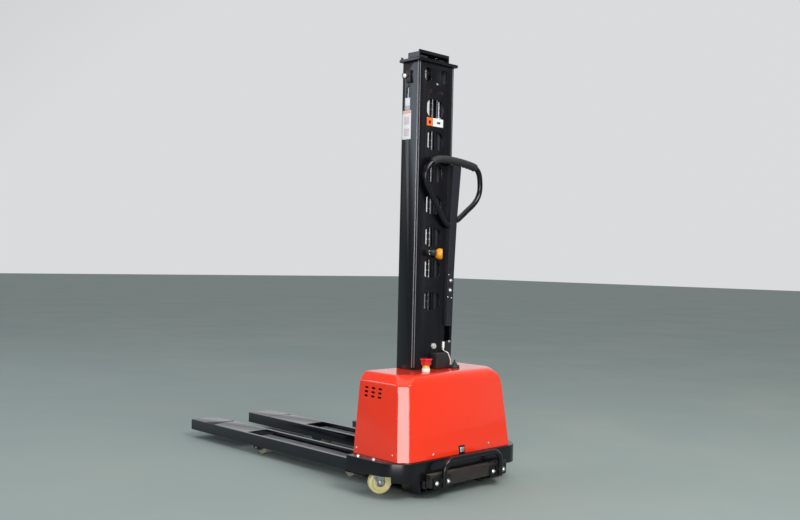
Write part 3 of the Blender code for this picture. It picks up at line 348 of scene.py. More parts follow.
def boxed(name, x, y, z, mat, body, bevel=0.0008, segments=2, turn=None, about=(0, 0, 0), stands_for=()):
    bm = bmesh.new()
    bmesh.ops.create_cube(bm, size=1.0)
    bmesh.ops.scale(bm, vec=(abs(x[1] - x[0]), abs(y[1] - y[0]), abs(z[1] - z[0])), verts=bm.verts)
    bmesh.ops.translate(bm, vec=((x[0] + x[1]) / 2, (y[0] + y[1]) / 2, (z[0] + z[1]) / 2), verts=bm.verts)
    if bevel:
        bmesh.ops.bevel(bm, geom=list(bm.edges), offset=bevel, segments=segments, profile=0.5, affect="EDGES", clamp_overlap=True)
    if turn is not None:
        bmesh.ops.rotate(bm, verts=bm.verts, cent=about, matrix=turn)
    return make(name, bm, mat, body, stands_for)


def fillet(profile, radius, steps=3, closed=False):
    """Round a polyline's inner corners."""
    out = []
    n = len(profile)
    for i, p in enumerate(profile):
        if not closed and i in (0, n - 1):
            out.append(p)
            continue
        a, b, c = Vector(profile[i - 1]), Vector(p), Vector(profile[(i + 1) % n])
        u, w = a - b, c - b
        r = min(radius, u.length * 0.45, w.length * 0.45)
        if r < 1e-6 or u.length < 1e-9 or w.length < 1e-9:
            out.append(p)
            continue
        u.normalize()
        w.normalize()
        if u.dot(w) < -0.985:
            out.append(p)
            continue
        s, e = b + u * r, b + w * r
        for k in range(steps + 1):
            t = k / steps
            q = s * (1 - t) ** 2 + b * 2 * t * (1 - t) + e * t ** 2
            out.append((q.x, q.y))
    return out


def lathe_bm(profile, segments=48, closed=False):
    """A turned shape round local Z from (radius, height) points."""
    bm = bmesh.new()
    rows = []
    for r, h in profile:
        if r < 1e-7:
            rows.append([bm.verts.new((0, 0, h))])
        else:
            rows.append([bm.verts.new((r * math.cos(2 * math.pi * k / segments), r * math.sin(2 * math.pi * k / segments), h))
                         for k in range(segments)])
    pairs = list(zip(rows, rows[1:])) + ([(rows[-1], rows[0])] if closed else [])
    for a, b in pairs:
        for k in range(segments):
            j = (k + 1) % segments
            if len(a) == 1 and len(b) == 1:
                continue
            if len(a) == 1:
                bm.faces.new((a[0], b[k], b[j]))
            elif len(b) == 1:
                bm.faces.new((a[k], a[j], b[0]))
            else:
                bm.faces.new((a[k], a[j], b[j], b[k]))
    return bm


def aim(direction):
    """A rotation that takes local Z to a direction."""
    return Vector(direction).normalized().to_track_quat("Z", "Y").to_matrix().to_4x4()


def lathe(name, profile, at, mat, body, axis=(0, 0, 1), segments=48, closed=False, soften=0.0, stands_for=(), spin=0.0):
    if soften:
        profile = fillet(profile, soften, 3, closed)
    bm = lathe_bm(profile, segments, closed)
    place = Matrix.Translation(Vector(at)) @ aim(axis) @ Matrix.Rotation(spin, 4, "Z")
    bmesh.ops.transform(bm, matrix=place, verts=bm.verts)
    return make(name, bm, mat, body, stands_for)


def prism(name, outline, low, high, axis, mat, body, bevel=0.0006, holes=(), stands_for=(), resolution=2):
    """A flat outline with holes, extruded along an axis, with rounded rims."""
    curve = bpy.data.curves.new(name, "CURVE")
    curve.dimensions = "2D"
    curve.fill_mode = "BOTH"
    curve.extrude = (high - low) / 2 - bevel
    curve.bevel_depth = bevel
    curve.bevel_resolution = resolution
    curve.offset = -bevel
    for ring in (outline, *holes):
        spline = curve.splines.new("POLY")
        spline.points.add(len(ring) - 1)
        for point, (a, b) in zip(spline.points, ring):
            point.co = (a, b, 0.0, 1.0)
        spline.use_cyclic_u = True
    sketch = bpy.data.objects.new(name + "_sketch", curve)
    scene.collection.objects.link(sketch)
    bpy.context.view_layer.update()
    mesh = bpy.data.meshes.new_from_object(sketch.evaluated_get(bpy.context.evaluated_depsgraph_get()))
    bpy.data.objects.remove(sketch, do_unlink=True)
    bpy.data.curves.remove(curve)
    bm = bmesh.new()
    bm.from_mesh(mesh)
    bpy.data.meshes.remove(mesh)
    bmesh.ops.remove_doubles(bm, verts=bm.verts, dist=0.00001)
    mid = (low + high) / 2
    if axis == "X":
        place = Matrix(((0, 0, 1, mid), (1, 0, 0, 0), (0, 1, 0, 0), (0, 0, 0, 1)))
    elif axis == "Y":
        place = Matrix(((1, 0, 0, 0), (0, 0, -1, mid), (0, 1, 0, 0), (0, 0, 0, 1)))
    else:
        place = Matrix.Translation((0, 0, mid))
    bmesh.ops.transform(bm, matrix=place, verts=bm.verts)
    return make(name, bm, mat, body, stands_for)


def rounded_rect(cx, cy, w, h, r, steps=8):
    points = []
    for quarter, (sx, sy) in enumerate(((1, 1), (-1, 1), (-1, -1), (1, -1))):
        for step in range(steps + 1):
            a = math.radians(90 * quarter + 90 * step / steps)
            points.append((cx + sx * (w / 2 - r) + r * math.cos(a), cy + sy * (h / 2 - r) + r * math.sin(a)))
    return points


def swept(name, points, radii, mat, body, sides=20, stands_for=(), flat=None):
    """A round section carried along points without twist; radii is one number or one per point."""
    pts = [Vector(p) for p in points]
    n = len(pts)
    radii = [radii] * n if isinstance(radii, (int, float)) else radii
    bm = bmesh.new()
    tangents = []
    for i in range(n):
        t = pts[min(i + 1, n - 1)] - pts[max(i - 1, 0)]
        tangents.append(t.normalized())
    ref = Vector((0, 0, 1)) if abs(tangents[0].z) < 0.9 else Vector((0, 1, 0))
    u = (ref - tangents[0] * ref.dot(tangents[0])).normalized()
    rows = []
    for i in range(n):
        t = tangents[i]
        u = (u - t * u.dot(t)).normalized()
        w = t.cross(u)
        ring = []
        for k in range(sides):
            a = 2 * math.pi * k / sides
            ring.append(bm.verts.new(pts[i] + (u * math.cos(a) + w * math.sin(a)) * radii[i]))
        rows.append(ring)
    for a, b in zip(rows, rows[1:]):
        for k in range(sides):
            j = (k + 1) % sides
            bm.faces.new((a[k], a[j], b[j], b[k]))
    bm.faces.new(list(reversed(rows[0])))
    bm.faces.new(rows[-1])
    return make(name, bm, mat, body, stands_for)


def catmull(knots, before, beyond, per):
    out = []
    n = len(knots)
    for i in range(n - 1):
        p0 = knots[i - 1] if i else before
        p3 = knots[i + 2] if i + 2 < n else beyond
        p1, p2 = knots[i], knots[i + 1]
        for k in range(per):
            f = k / per
            out.append(tuple(0.5 * (2 * b + (c - a) * f + (2 * a - 5 * b + 4 * c - d) * f * f
                                    + (3 * b - a - 3 * c + d) * f ** 3) for a, b, c, d in zip(p0, p1, p2, p3)))
    out.append(tuple(knots[-1]))
    return out


def cut_with(obj, cutters):
    for tool in cutters:
        mod = obj.modifiers.new("Cut", "BOOLEAN")
        mod.operation = "DIFFERENCE"
        mod.solver = "EXACT"
        mod.object = tool
    bake(obj)
    for tool in cutters:
        bpy.data.objects.remove(tool, do_unlink=True)
    return obj


# ------------------------------------------------------------------ fasteners
def hex_bolt(name, at, axis, body, r=0.0055, h=0.0042, washer=1.35, mat=None, spin=0.3):
    mat = mat or ZINC
    at, axis = Vector(at), Vector(axis).normalized()
    if washer:
        lathe(name + "_washer", [(0, 0), (r * washer, 0), (r * washer, 0.0011), (0, 0.0011)], at, mat, body, axis, 28, soften=0.0003)
    base = at + axis * (0.0011 if washer else 0.0)
    head = [(0, 0), (r, 0), (r, h * 0.8), (r * 0.86, h), (r * 0.30, h), (r * 0.22, h * 0.86), (0, h * 0.86)]
    bm = lathe_bm(head, 6)
    bmesh.ops.transform(bm, matrix=Matrix.Translation(base) @ aim(axis) @ Matrix.Rotation(spin, 4, "Z"), verts=bm.verts)
    return make(name, bm, mat, body, smooth=25.0)


def pan_screw(name, at, axis, body, r=0.0045, h=0.0026, mat=None, recess=True):
    mat = mat or ZINC
    profile = [(0, h * 0.55), (r * 0.22, h * 0.55), (r * 0.30, h * 0.98)] if recess else [(0, h)]
    profile += [(r * 0.55, h * 0.93), (r * 0.80, h * 0.72), (r * 0.95, h * 0.38), (r, 0)]
    bm = lathe_bm(profile, 24)
    bmesh.ops.transform(bm, matrix=Matrix.Translation(Vector(at)) @ aim(axis), verts=bm.verts)
    return make(name, bm, mat, body)


def socket_bolt(name, at, axis, body, r=0.0060, h=0.0060, mat=None):
    mat = mat or ZINC
    profile = fillet([(0, h * 0.35), (r * 0.45, h * 0.35), (r * 0.50, h), (r, h), (r, 0)], 0.0006, 2)
    bm = lathe_bm(profile, 32)
    bmesh.ops.transform(bm, matrix=Matrix.Translation(Vector(at)) @ aim(axis), verts=bm.verts)
    return make(name, bm, mat, body)


def bead(name, points, r, body, mat=None):
    """A weld bead with ripples."""
    pts = []
    total = len(points)
    dense = []
    for a, b in zip(points, points[1:]):
        a, b = Vector(a), Vector(b)
        steps = max(2, int((b - a).length / 0.0016))
        dense += [a.lerp(b, k / steps) for k in range(steps)]
    dense.append(Vector(points[-1]))
    radii = [r * (0.86 + 0.16 * math.sin(i * 2.1) + 0.05 * math.sin(i * 0.7)) for i in range(len(dense))]
    return swept(name, dense, radii, mat or WELD, body, sides=8)


# ------------------------------------------------------------------ hood
def hood_outline(z, hw, front, rear, corner):
    e, f = 0.0035, 0.004

    def soft(a, b, c, r, k=4):
        a, b, c = Vector(a), Vector(b), Vector(c)
        s = b + (a - b).normalized() * r
        t = b + (c - b).normalized() * r
        return [tuple(s * (1 - q) ** 2 + b * 2 * q * (1 - q) + t * q ** 2) for q in (i / (k - 1) for i in range(k))]

    half = [((0, front), (-hw, front), (-hw, rear), f), ((-hw, front), (-hw, rear + corner), (-hw + corner, rear), e),
            ((-hw, rear + corner), (-hw + corner, rear), (0, rear), e)]
    left = []
    for a, b, c, r in half:
        left += soft(a, b, c, r)
    ring = left + [(-x, y) for x, y in reversed(left)]
    return [(x, y, z) for x, y in ring]


def hood():
    levels = [(0.1459, 0.3300, -0.4815, -0.7630, 0.036), (0.1600, 0.32867, -0.4815, -0.7614, 0.0359),
              (0.3900, 0.3070, -0.4815, -0.7350, 0.034), (0.4240, 0.3034, -0.4815, -0.7288, 0.0355)]
    side_profile = [(0.4290, 0.3028), (0.4325, 0.3018), (0.4360, 0.2994), (0.4420, 0.2946), (0.4500, 0.2882),
                    (0.4560, 0.2834), (0.4605, 0.2796), (0.4636, 0.2762), (0.4653, 0.2728), (0.4660, 0.2688)]
    for i, (z, hw) in enumerate(side_profile):
        t = (z - 0.4250) / (0.4660 - 0.4250)
        rear = -0.7290 + 0.0450 * (1 - math.sqrt(max(0.0, 1 - t * t)))
        front = -0.4815 - 0.0030 * max(0.0, (t - 0.75) / 0.25) ** 2
        levels.append((z, hw, front, rear, 0.0355 + 0.012 * t))
    top = levels[-1]
    levels.append((0.4660, top[1] - 0.006, top[2] - 0.005, top[3] + 0.006, top[4]))
    bm = bmesh.new()
    rows = [[bm.verts.new(co) for co in hood_outline(*level)] for level in levels]
    for low, high in zip(rows, rows[1:]):
        for i in range(len(low)):
            j = (i + 1) % len(low)
            bm.faces.new((low[i], low[j], high[j], high[i]))
    bm.faces.new(rows[-1])
    obj = make("hood_look", bm, RED, None, smooth=None)
    shell = obj.modifiers.new("Shell", "SOLIDIFY")
    shell.thickness, shell.offset, shell.use_even_offset = 0.0025, -1.0, True
    bake(obj)
    tools = [boxed("t1", (-0.1075, 0.1075), (-0.5825, -0.470), (0.10, 0.52), RED, None, bevel=0),
             boxed("t2", (-0.0185, 0.0185), (-0.790, -0.730), (0.10, 0.1780), RED, None, bevel=0)]
    for row, z in enumerate((0.4070, 0.3910, 0.3750)):
        for col, y in enumerate((-0.5255, -0.5640, -0.6025)):
            tools.append(prism("v%d%d" % (row, col), rounded_rect(y, z, 0.021, 0.008, 0.0039, 6), -0.345, -0.280, "X", RED, None, bevel=0.0))
    cut_with(obj, tools)
    obj.data.materials.clear()
    obj.data.materials.append(RED)
    obj.data.shade_smooth()
    obj.data.set_sharp_from_angle(angle=math.radians(40))
    round_edges(obj, 0.0006, 2, 50.0)
    settle(obj, "chassis", ("hood",))
    body = "chassis"
    pan_screw("hood_screw_side_left_front", (-0.3272, -0.4979, 0.1690), (-1, 0, 0.09), body)
    pan_screw("hood_screw_side_left_rear", (-0.3272, -0.7000, 0.1690), (-1, 0, 0.09), body)
    pan_screw("hood_screw_side_right_front", (0.3272, -0.4979, 0.1690), (1, 0, 0.09), body)
    pan_screw("hood_screw_side_right_rear", (0.3272, -0.7000, 0.1690), (1, 0, 0.09), body)
    pan_screw("hood_screw_rear_left", (-0.1650, -0.7616, 0.1620), (0, -1, 0.11), body, r=0.0050)
    pan_screw("hood_screw_rear_right", (0.1655, -0.7611, 0.1670), (0, -1, 0.11), body, r=0.0050)
    pan_screw("hood_screw_top_left", (-0.1817, -0.5074, 0.4659), (0, 0, 1), body, r=0.0048, h=0.0034)
    pan_screw("hood_screw_top_right", (0.1817, -0.5074, 0.4659), (0, 0, 1), body, r=0.0048, h=0.0034)
    pan_screw("hood_screw_top_rear_left", (-0.1250, -0.6700, 0.4659), (0, 0, 1), body, r=0.0042, h=0.0020, mat=RED)
    pan_screw("hood_screw_top_rear_right", (0.0470, -0.6430, 0.4659), (0, 0, 1), body, r=0.0042, h=0.0020, mat=RED)
    # near-black plate behind the vents: painted shade inside the hood
    boxed("vent_baffle", (-0.296, -0.294), (-0.630, -0.500), (0.355, 0.425), SHADOW, body, bevel=0.0004)


hood()

# ------------------------------------------------------------------ base frame


def base_ring(inset):
    hw, rear, front = 0.375 - inset, -0.778 + inset, -0.493 - inset
    c = 0.064 - inset * (2 - math.sqrt(2))
    return fillet([(-hw, front), (-hw, rear + c), (-hw + c, rear), (hw - c, rear), (hw, rear + c), (hw, front)], 0.034, 8)


def base():
    obj = prism("base_frame_look", base_ring(0.0), 0.0735, 0.1450, "Z", BASEPAINT, None, bevel=0.0016)
    tools = [prism("b0", base_ring(0.006), 0.060, 0.139, "Z", BLACK, None, bevel=0.0),
             boxed("b1", (-0.1080, 0.1080), (-0.5840, -0.480), (0.05, 0.16), BLACK, None, bevel=0)]
    for side in (-1, 1):
        arch = [(-0.480, 0.050), (-0.480, 0.0840), (-0.7290, 0.0963), (-0.7290, 0.050)]
        tools.append(prism("b2", arch, *sorted((side * 0.320, side * 0.400)), "X", BLACK, None, bevel=0.0))
        tools.append(boxed("b3", (side * 0.100, side * 0.262), (-0.510, -0.480), (0.050, 0.1385), BLACK, None, bevel=0))
    cut_with(obj, tools)
    obj.data.materials.clear()
    obj.data.materials.append(BLACK)
    obj.data.shade_smooth()
    obj.data.set_sharp_from_angle(angle=math.radians(32))
    round_edges(obj, 0.0008, 2, 50.0)
    settle(obj, "chassis", ("base_frame",))


base()
for tag, (x, y) in (("a", (-0.3560, -0.5400)), ("b", (-0.3550, -0.6270)), ("c", (0.3560, -0.5400)), ("d", (0.3550, -0.6270))):
    hex_bolt("deck_bolt_" + tag, (x, y, 0.1450), (0, 0, 1), "chassis", r=0.0078, h=0.0052)
for side_name, side in SIDES:
    refined("leg_guide_" + side_name, 0.0010, 2)
    refined("caster_mount_" + side_name, 0.0012, 2)
    for k, (dx, dy) in enumerate(((-0.026, -0.026), (0.026, -0.026), (-0.026, 0.026), (0.026, 0.026))):
        hex_bolt("caster_bolt_%s_%d" % (side_name, k), (side * 0.309 + dx, -0.5875 + dy, 0.1328), (0, 0, -1), "chassis", r=0.0050, h=0.0035)
refined("battery", 0.006, 4)
refined("pump_unit", 0.003, 3)
refined("charge_socket", 0.0015, 3)
boxed("charge_socket_face", (-0.0150, 0.0150), (-0.7628, -0.7612), (0.1490, 0.1745), PLASTIC, "chassis", bevel=0.0006)
for k, x in enumerate((-0.0065, 0.0065)):
    boxed("charge_contact_%d" % k, (x - 0.0044, x + 0.0044), (-0.7640, -0.7622), (0.1530, 0.1705), WHITE if k == 0 else LABEL_GREY, "chassis",
          bevel=0.0005)
    boxed("charge_slot_%d" % k, (x - 0.0016, x + 0.0016), (-0.7645, -0.7636), (0.1560, 0.1675), INK, "chassis", bevel=0.0002)

# ------------------------------------------------------------------ mast
for side_name, side in SIDES:
    refined("mast_upright_" + side_name, 0.0020, 3)
    # strip over the upright's rear corner, coloured grey as a painted highlight along the edge
    strip = [(side * x, y) for x, y in ((0.1043, -0.5700), (0.1043, -0.5722), (0.0985, -0.5783), (0.0960, -0.5783), (0.0960, -0.5775), (0.1030, -0.5700))]
    prism("mast_corner_" + side_name, strip, 0.475, 1.7205, "Z", CORNER, "chassis", bevel=0.0002)
holes = [rounded_rect(-0.004, 1.536 - 0.132 * i, 0.102, 0.076, 0.034, 10) for i in range(7)]
holes += [rounded_rect(x, 1.6725, 0.039, 0.056, 0.0194, 8) for x in (-0.0495, 0.0435)]
holes += [[(x + 0.0065 * math.cos(a * math.pi / 10), 1.6055 + 0.0065 * math.sin(a * math.pi / 10)) for a in range(20)]
          for x in (-0.0326, 0.0322)]
prism("mast_rear_plate_look", [(-0.1032, 0.030), (0.1032, 0.030), (0.1032, 1.7217), (-0.1032, 1.7217)], -0.5780, -0.5733, "Y", BLACK,
      "chassis", bevel=0.0007, holes=holes, stands_for=("mast_rear_plate",))
boxed("chain_anchor_block", (-0.012, 0.012), (-0.5735, -0.5400), (0.590, 0.6197), BLACK, "chassis", bevel=0.0012)
boxed("cylinder_shelf_plate", (-0.0572, 0.0572), (-0.5735, -0.5380), (0.1020, 0.1117), BLACK, "chassis", bevel=0.0010)
pan_screw("plate_latch", (0.0050, -0.5780, 1.6386), (0, -1, 0), "chassis", r=0.0052, h=0.0030)
boxed("plate_latch_tab", (0.0015, 0.0190), (-0.5794, -0.5781), (1.6300, 1.6440), BLACK, "chassis", bevel=0.0004)
pan_screw("plate_screw_mid", (0.0680, -0.5780, 1.1550), (0, -1, 0), "chassis", r=0.0036, mat=CHAIN)
for k, x in enumerate((-0.0326, 0.0322)):
    lathe("plate_eyelet_%d" % k, [(0.0064, 0.0), (0.0064, 0.0012), (0.0052, 0.0014), (0.0048, 0.0)], (x, -0.5779, 1.6055), EYELET, "chassis",
          (0, -1, 0), 24)
boxed("slot_backing", (-0.0978, -0.0968), (-0.5210, -0.5085), (1.5700, 1.6230), WHITE, "chassis", bevel=0.0003)

refined("mast_cap", 0.0016, 3)
for k, (x, y) in enumerate(((-0.108, -0.482), (0.108, -0.482), (0.108, -0.582), (-0.108, -0.582))):
    if k == 0:
        socket_bolt("cap_bolt_%d" % k, (x, y, 1.7340), (0, 0, 1), "chassis", r=0.0050, h=0.0090, mat=BLACK)
    else:
        pan_screw("cap_bolt_%d" % k, (x, y, 1.7340), (0, 0, 1), "chassis", r=0.0045, mat=BLACK)

# inner mast
for side_name, side in SIDES:
    refined("inner_rail_" + side_name, 0.0010, 2)
    lathe("lift_rod_%s_look" % side_name, [(0, 0.860), (0.0095, 0.860), (0.010, 0.8605), (0.010, 1.7297), (0.0095, 1.7302), (0, 1.7302)],
          (side * 0.042, -0.5535, 0), ROD, "inner_mast", segments=40, stands_for=("lift_rod_" + side_name,))
    lathe("lift_cylinder_%s_look" % side_name,
          [(0, 0.1220), (0.0118, 0.1220), (0.0118, 1.500), (0.0150, 1.500), (0.0150, 0.1120), (0, 0.1120)],
          (side * 0.042, -0.5535, 0), BARREL, "chassis", segments=40, soften=0.0008, stands_for=("lift_cylinder_" + side_name,))
    lathe("cylinder_gland_" + side_name, [(0.0104, 1.4960), (0.0104, 1.5060), (0.0136, 1.5060), (0.0158, 1.5030), (0.0158, 1.4780), (0.0151, 1.4770)],
          (side * 0.042, -0.5535, 0), ZINC, "chassis", segments=40, soften=0.0006)
refined("inner_crosshead", 0.0012, 3, BLACK)
boxed("crosshead_pad_left", (-0.0820, -0.0380), (-0.5600, -0.5570), (1.7366, 1.7500), POSTPAINT, "inner_mast", bevel=0.0008)
boxed("crosshead_pad_right", (0.0360, 0.0600), (-0.5600, -0.5570), (1.7366, 1.7470), POSTPAINT, "inner_mast", bevel=0.0008)
for k, x in enumerate((-0.070, 0.070)):
    hex_bolt("crosshead_bolt_%d" % k, (x, -0.5030, 1.7480), (0, -1, 0), "inner_mast", r=0.0060)

# sheave
lathe("chain_sheave_look",
      [(0.0053, 0.0105), (0.0090, 0.0105), (0.0100, 0.0080), (0.0240, 0.0080), (0.0250, 0.0105), (0.0285, 0.0105), (0.0285, 0.0078), (0.0186, 0.0060),
       (0.0186, -0.0060), (0.0285, -0.0078), (0.0285, -0.0105), (0.0250, -0.0105), (0.0240, -0.0080), (0.0100, -0.0080), (0.0090, -0.0105),
       (0.0053, -0.0105)], (0, -0.525, 1.660), CHAIN, "sheave", (1, 0, 0), 64, closed=True, soften=0.0004, stands_for=("chain_sheave",))
for k in range(6):
    a = k * math.pi / 3
    lathe("sheave_rivet_%d" % k, [(0, 0.0096), (0.0018, 0.0094), (0.0026, 0.0080), (0.0026, -0.0080), (0.0018, -0.0094), (0, -0.0096)],
          (0, -0.525 + 0.0145 * math.cos(a), 1.660 + 0.0145 * math.sin(a)), SHADOW, "sheave", (1, 0, 0), 16)


# ------------------------------------------------------------------ chain
def link_outline(pitch, r, waist):
    pts = []
    for k in range(9):
        a = math.radians(90 + 180 * k / 8)
        pts.append((-pitch / 2 + r * math.cos(a), r * math.sin(a)))
    pts.append((0, -waist))
    for k in range(9):
        a = math.radians(-90 + 180 * k / 8)
        pts.append((pitch / 2 + r * math.cos(a), r * math.sin(a)))
    pts.append((0, waist))
    return pts


def chain_run(name, path, body, stands_for=(), grow=1.0, pitch=0.0127):
    """Leaf chain: alternate stacks of link plates with pins through them, along a path in the YZ plane."""
    pts = [Vector((0, y, z)) for y, z in path]
    cum = [0.0]
    for a, b in zip(pts, pts[1:]):
        cum.append(cum[-1] + (b - a).length)

    def at(s):
        s = max(0.0, min(cum[-1], s))
        for i in range(len(cum) - 1):
            if s <= cum[i + 1] + 1e-9:
                return pts[i].lerp(pts[i + 1], (s - cum[i]) / max(1e-9, cum[i + 1] - cum[i]))
        return pts[-1]

    bm = bmesh.new()
    count = max(1, int(cum[-1] / pitch))
    pitch = cum[-1] / count
    outline = link_outline(pitch, 0.0034 * grow, 0.0026 * grow)
    stacks = (((-0.0055, -0.0040), (-0.0008, 0.0008), (0.0040, 0.0055)), ((-0.0038, -0.0024), (-0.0022, -0.0010), (0.0010, 0.0022), (0.0024, 0.0038)))
    for k in range(count):
        a, b = at(k * pitch), at((k + 1) * pitch)
        mid, along = (a + b) / 2, (b - a).normalized()
        across = Vector((1, 0, 0)).cross(along)
        for x0, x1 in stacks[k % 2]:
            low = [bm.verts.new(mid + along * u + across * v + Vector((x0 * grow, 0, 0))) for u, v in outline]
            high = [bm.verts.new(mid + along * u + across * v + Vector((x1 * grow, 0, 0))) for u, v in outline]
            n = len(outline)
            bm.faces.new(low)
            bm.faces.new(list(reversed(high)))
            for i in range(n):
                j = (i + 1) % n
                bm.faces.new((low[i], high[i], high[j], low[j]))
    for k in range(count + 1):
        c = at(k * pitch)
        for sgn in (-1, 1):
            pass
        ring0, ring1 = [], []
        for i in range(10):
            a = 2 * math.pi * i / 10
            off = Vector((0, 0.0019 * math.cos(a), 0.0019 * math.sin(a))) * grow
            ring0.append(bm.verts.new(c + off + Vector((-0.0059 * grow, 0, 0))))
            ring1.append(bm.verts.new(c + off + Vector((0.0059 * grow, 0, 0))))
        bm.faces.new(ring0)
        bm.faces.new(list(reversed(ring1)))
        for i in range(10):
            j = (i + 1) % 10
            bm.faces.new((ring0[i], ring1[i], ring1[j], ring0[j]))
    return make(name, bm, CHAIN, body, stands_for, smooth=30.0)


R = 0.0223
TOP = 1.660
front_y, back_y = -0.525 + R, -0.525 - R
front = chain_run("chain_front_look", [(front_y, 0.3600), (front_y, TOP)], "inner_mast", ("chain_front_run",))
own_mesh(front)
wrap = [(-0.525 + R * math.cos(math.radians(a)), TOP + R * math.sin(math.radians(a))) for a in range(0, 181, 12)]
chain_run("chain_wrap_look", wrap, "inner_mast", pitch=0.0110)
chain_run("chain_back_look", [(back_y, 0.6205), (back_y, TOP)], "chassis", ("chain_back_run",))
chain_run("chain_back_paid_out", [(back_y, 1.0400), (back_y, TOP)], "inner_mast", grow=0.90)
for name, y, z, body in (("chain_anchor_pin_front", front_y, 0.3560, "carriage"), ("chain_anchor_pin_back", back_y, 0.6230, "chassis")):
    lathe(name, [(0, -0.010), (0.0032, -0.010), (0.0032, 0.010), (0, 0.010)], (0, y, z), STEEL, body, (1, 0, 0), 20, soften=0.0006)

# ------------------------------------------------------------------ carriage and forks
refined("carriage_frame", 0.0012, 3)


def roller(name, at, r, width, mat, body, bore, node=None, hub=None):
    h = width / 2
    lathe(name + "_look", [(bore, h), (r * 0.55, h), (r * 0.60, h - 0.0012), (r * 0.80, h - 0.0012), (r * 0.84, h), (r, h), (r, -h), (r * 0.84, -h),
                           (r * 0.80, -h + 0.0012), (r * 0.60, -h + 0.0012), (r * 0.55, -h), (bore, -h)], at, mat, body, (1, 0, 0), 64,
          closed=True, soften=0.0014, stands_for=(name,))


for side_name, side in SIDES:
    for tag, z in (("low", 0.140), ("high", 0.430)):
        roller("mast_roller_%s_%s" % (tag, side_name), (side * 0.076, -0.529, z), 0.029, 0.020, STEEL, "roller_%s_%s" % (tag, side_name), 0.0073)
    # fork with a slightly dropped nose and the seam where the nose is welded on
    fork = refined("fork_" + side_name, 0.0014, 3, FORKPAINT)
    xi, xo = 0.102, 0.245
    body = "carriage"
    x0, x1 = (side * xi, side * xo) if side > 0 else (side * xo, side * xi)
    bead("fork_nose_weld_" + side_name, [(side * (xo - 0.003), 0.6560, 0.0898), (side * (xi + 0.003), 0.6700, 0.0898)], 0.0011, body, FORKPAINT)
    bead("fork_side_seam_" + side_name, [(side * (xo - 0.0003), 0.4320, 0.0880), (side * (xo - 0.0003), 0.4290, 0.0430)], 0.0010, body, FORKPAINT)
    for k, (x, y, r) in enumerate(((-0.1965, 0.5906, 0.0030), (-0.1657, 0.5673, 0.0034), (-0.1809, 0.5041, 0.0028))):
        lathe("fork_plug_%s_%d" % (side_name, k), [(0, 0.0006), (r, 0.0005), (r * 1.25, 0.0)], (side * -x, y, 0.0900), FORKPAINT, body, segments=20)
    for tag, x in (("in", xi + 0.003), ("out", xo - 0.003)):
        bead("gusset_weld_%s_%s" % (tag, side_name), [(side * x, -0.4060, 0.1150), (side * x, -0.3960, 0.0905)], 0.0022, body)
# duller patch across the left fork nose: painted dark band in the reflection
prism("fork_scuff_left", [(-0.2425, 0.7160), (-0.2425, 0.6330), (-0.1700, 0.6560), (-0.1060, 0.6640), (-0.1700, 0.6830)], 0.0896, 0.0903, "Z", MATTPATCH,
      "carriage", bevel=0.0001)

# ------------------------------------------------------------------ legs
for side_name, side in SIDES:
    refined("leg_" + side_name, 0.0010, 3, FORKPAINT)
    lo_x, hi_x = sorted((side * 0.1225, side * 0.2255))
    # paler grey strip on the leg top, seen through the fork windows
    prism("leg_rubbed_top_" + side_name, [(lo_x, -0.3000), (hi_x, -0.3000), (hi_x, 0.3400), (hi_x - 0.004, 0.3420), (lo_x + 0.004, 0.3420), (lo_x, 0.3400)],
          0.0712, 0.0718, "Z", LEGTOP, "legs", bevel=0.0001)
    at = (side * 0.174, 0.292, 0.032)
    r, h = 0.032, 0.035
    lathe("leg_wheel_%s_look" % side_name,
          [(0.0073, h), (0.0200, h), (0.0215, h - 0.0012), (0.0290, h - 0.0012), (r - 0.001, h - 0.003), (r, h - 0.005), (r, -h + 0.005),
           (r - 0.001, -h + 0.003), (0.0290, -h + 0.0012), (0.0215, -h + 0.0012), (0.0200, -h), (0.0073, -h)], at, GREYWHEEL, "leg_wheel_" + side_name,
          (1, 0, 0), 64, closed=True, soften=0.0012, stands_for=("leg_wheel_" + side_name,))
    for e in (-1, 1):
        lathe("leg_bearing_%s_%s" % (side_name, "a" if e < 0 else "b"),
              [(0.0074, 0.0), (0.0074, 0.0010), (0.0105, 0.0012), (0.0115, 0.0006), (0.0150, 0.0006), (0.0160, 0.0012), (0.0190, 0.0012), (0.0195, 0.0)],
              (side * 0.174 + e * h, 0.292, 0.032), STEEL, "leg_wheel_" + side_name, (e, 0, 0), 40)
    x1 = 0.229
    lathe("leg_axle_end_" + side_name, [(0, 0.0080), (0.0034, 0.0080), (0.0044, 0.0072), (0.0044, 0.0)], (side * (x1 + 0.0030), 0.292, 0.032), ZINC, "legs",
          (side, 0, 0), 24)
    at = (side * 0.174, -0.306, 0.030)
    r, h = 0.030, 0.019
    lathe("mid_wheel_%s_look" % side_name,
          [(0.0063, h), (0.0180, h), (0.0195, h - 0.0010), (0.0270, h - 0.0010), (r - 0.0006, h - 0.0020), (r, h - 0.0040), (r, -h + 0.0040),
           (r - 0.0006, -h + 0.0020), (0.0270, -h + 0.0010), (0.0195, -h + 0.0010), (0.0180, -h), (0.0063, -h)], at, GREYWHEEL, "mid_wheel_" + side_name,
          (1, 0, 0), 64, closed=True, soften=0.0010, stands_for=("mid_wheel_" + side_name,))

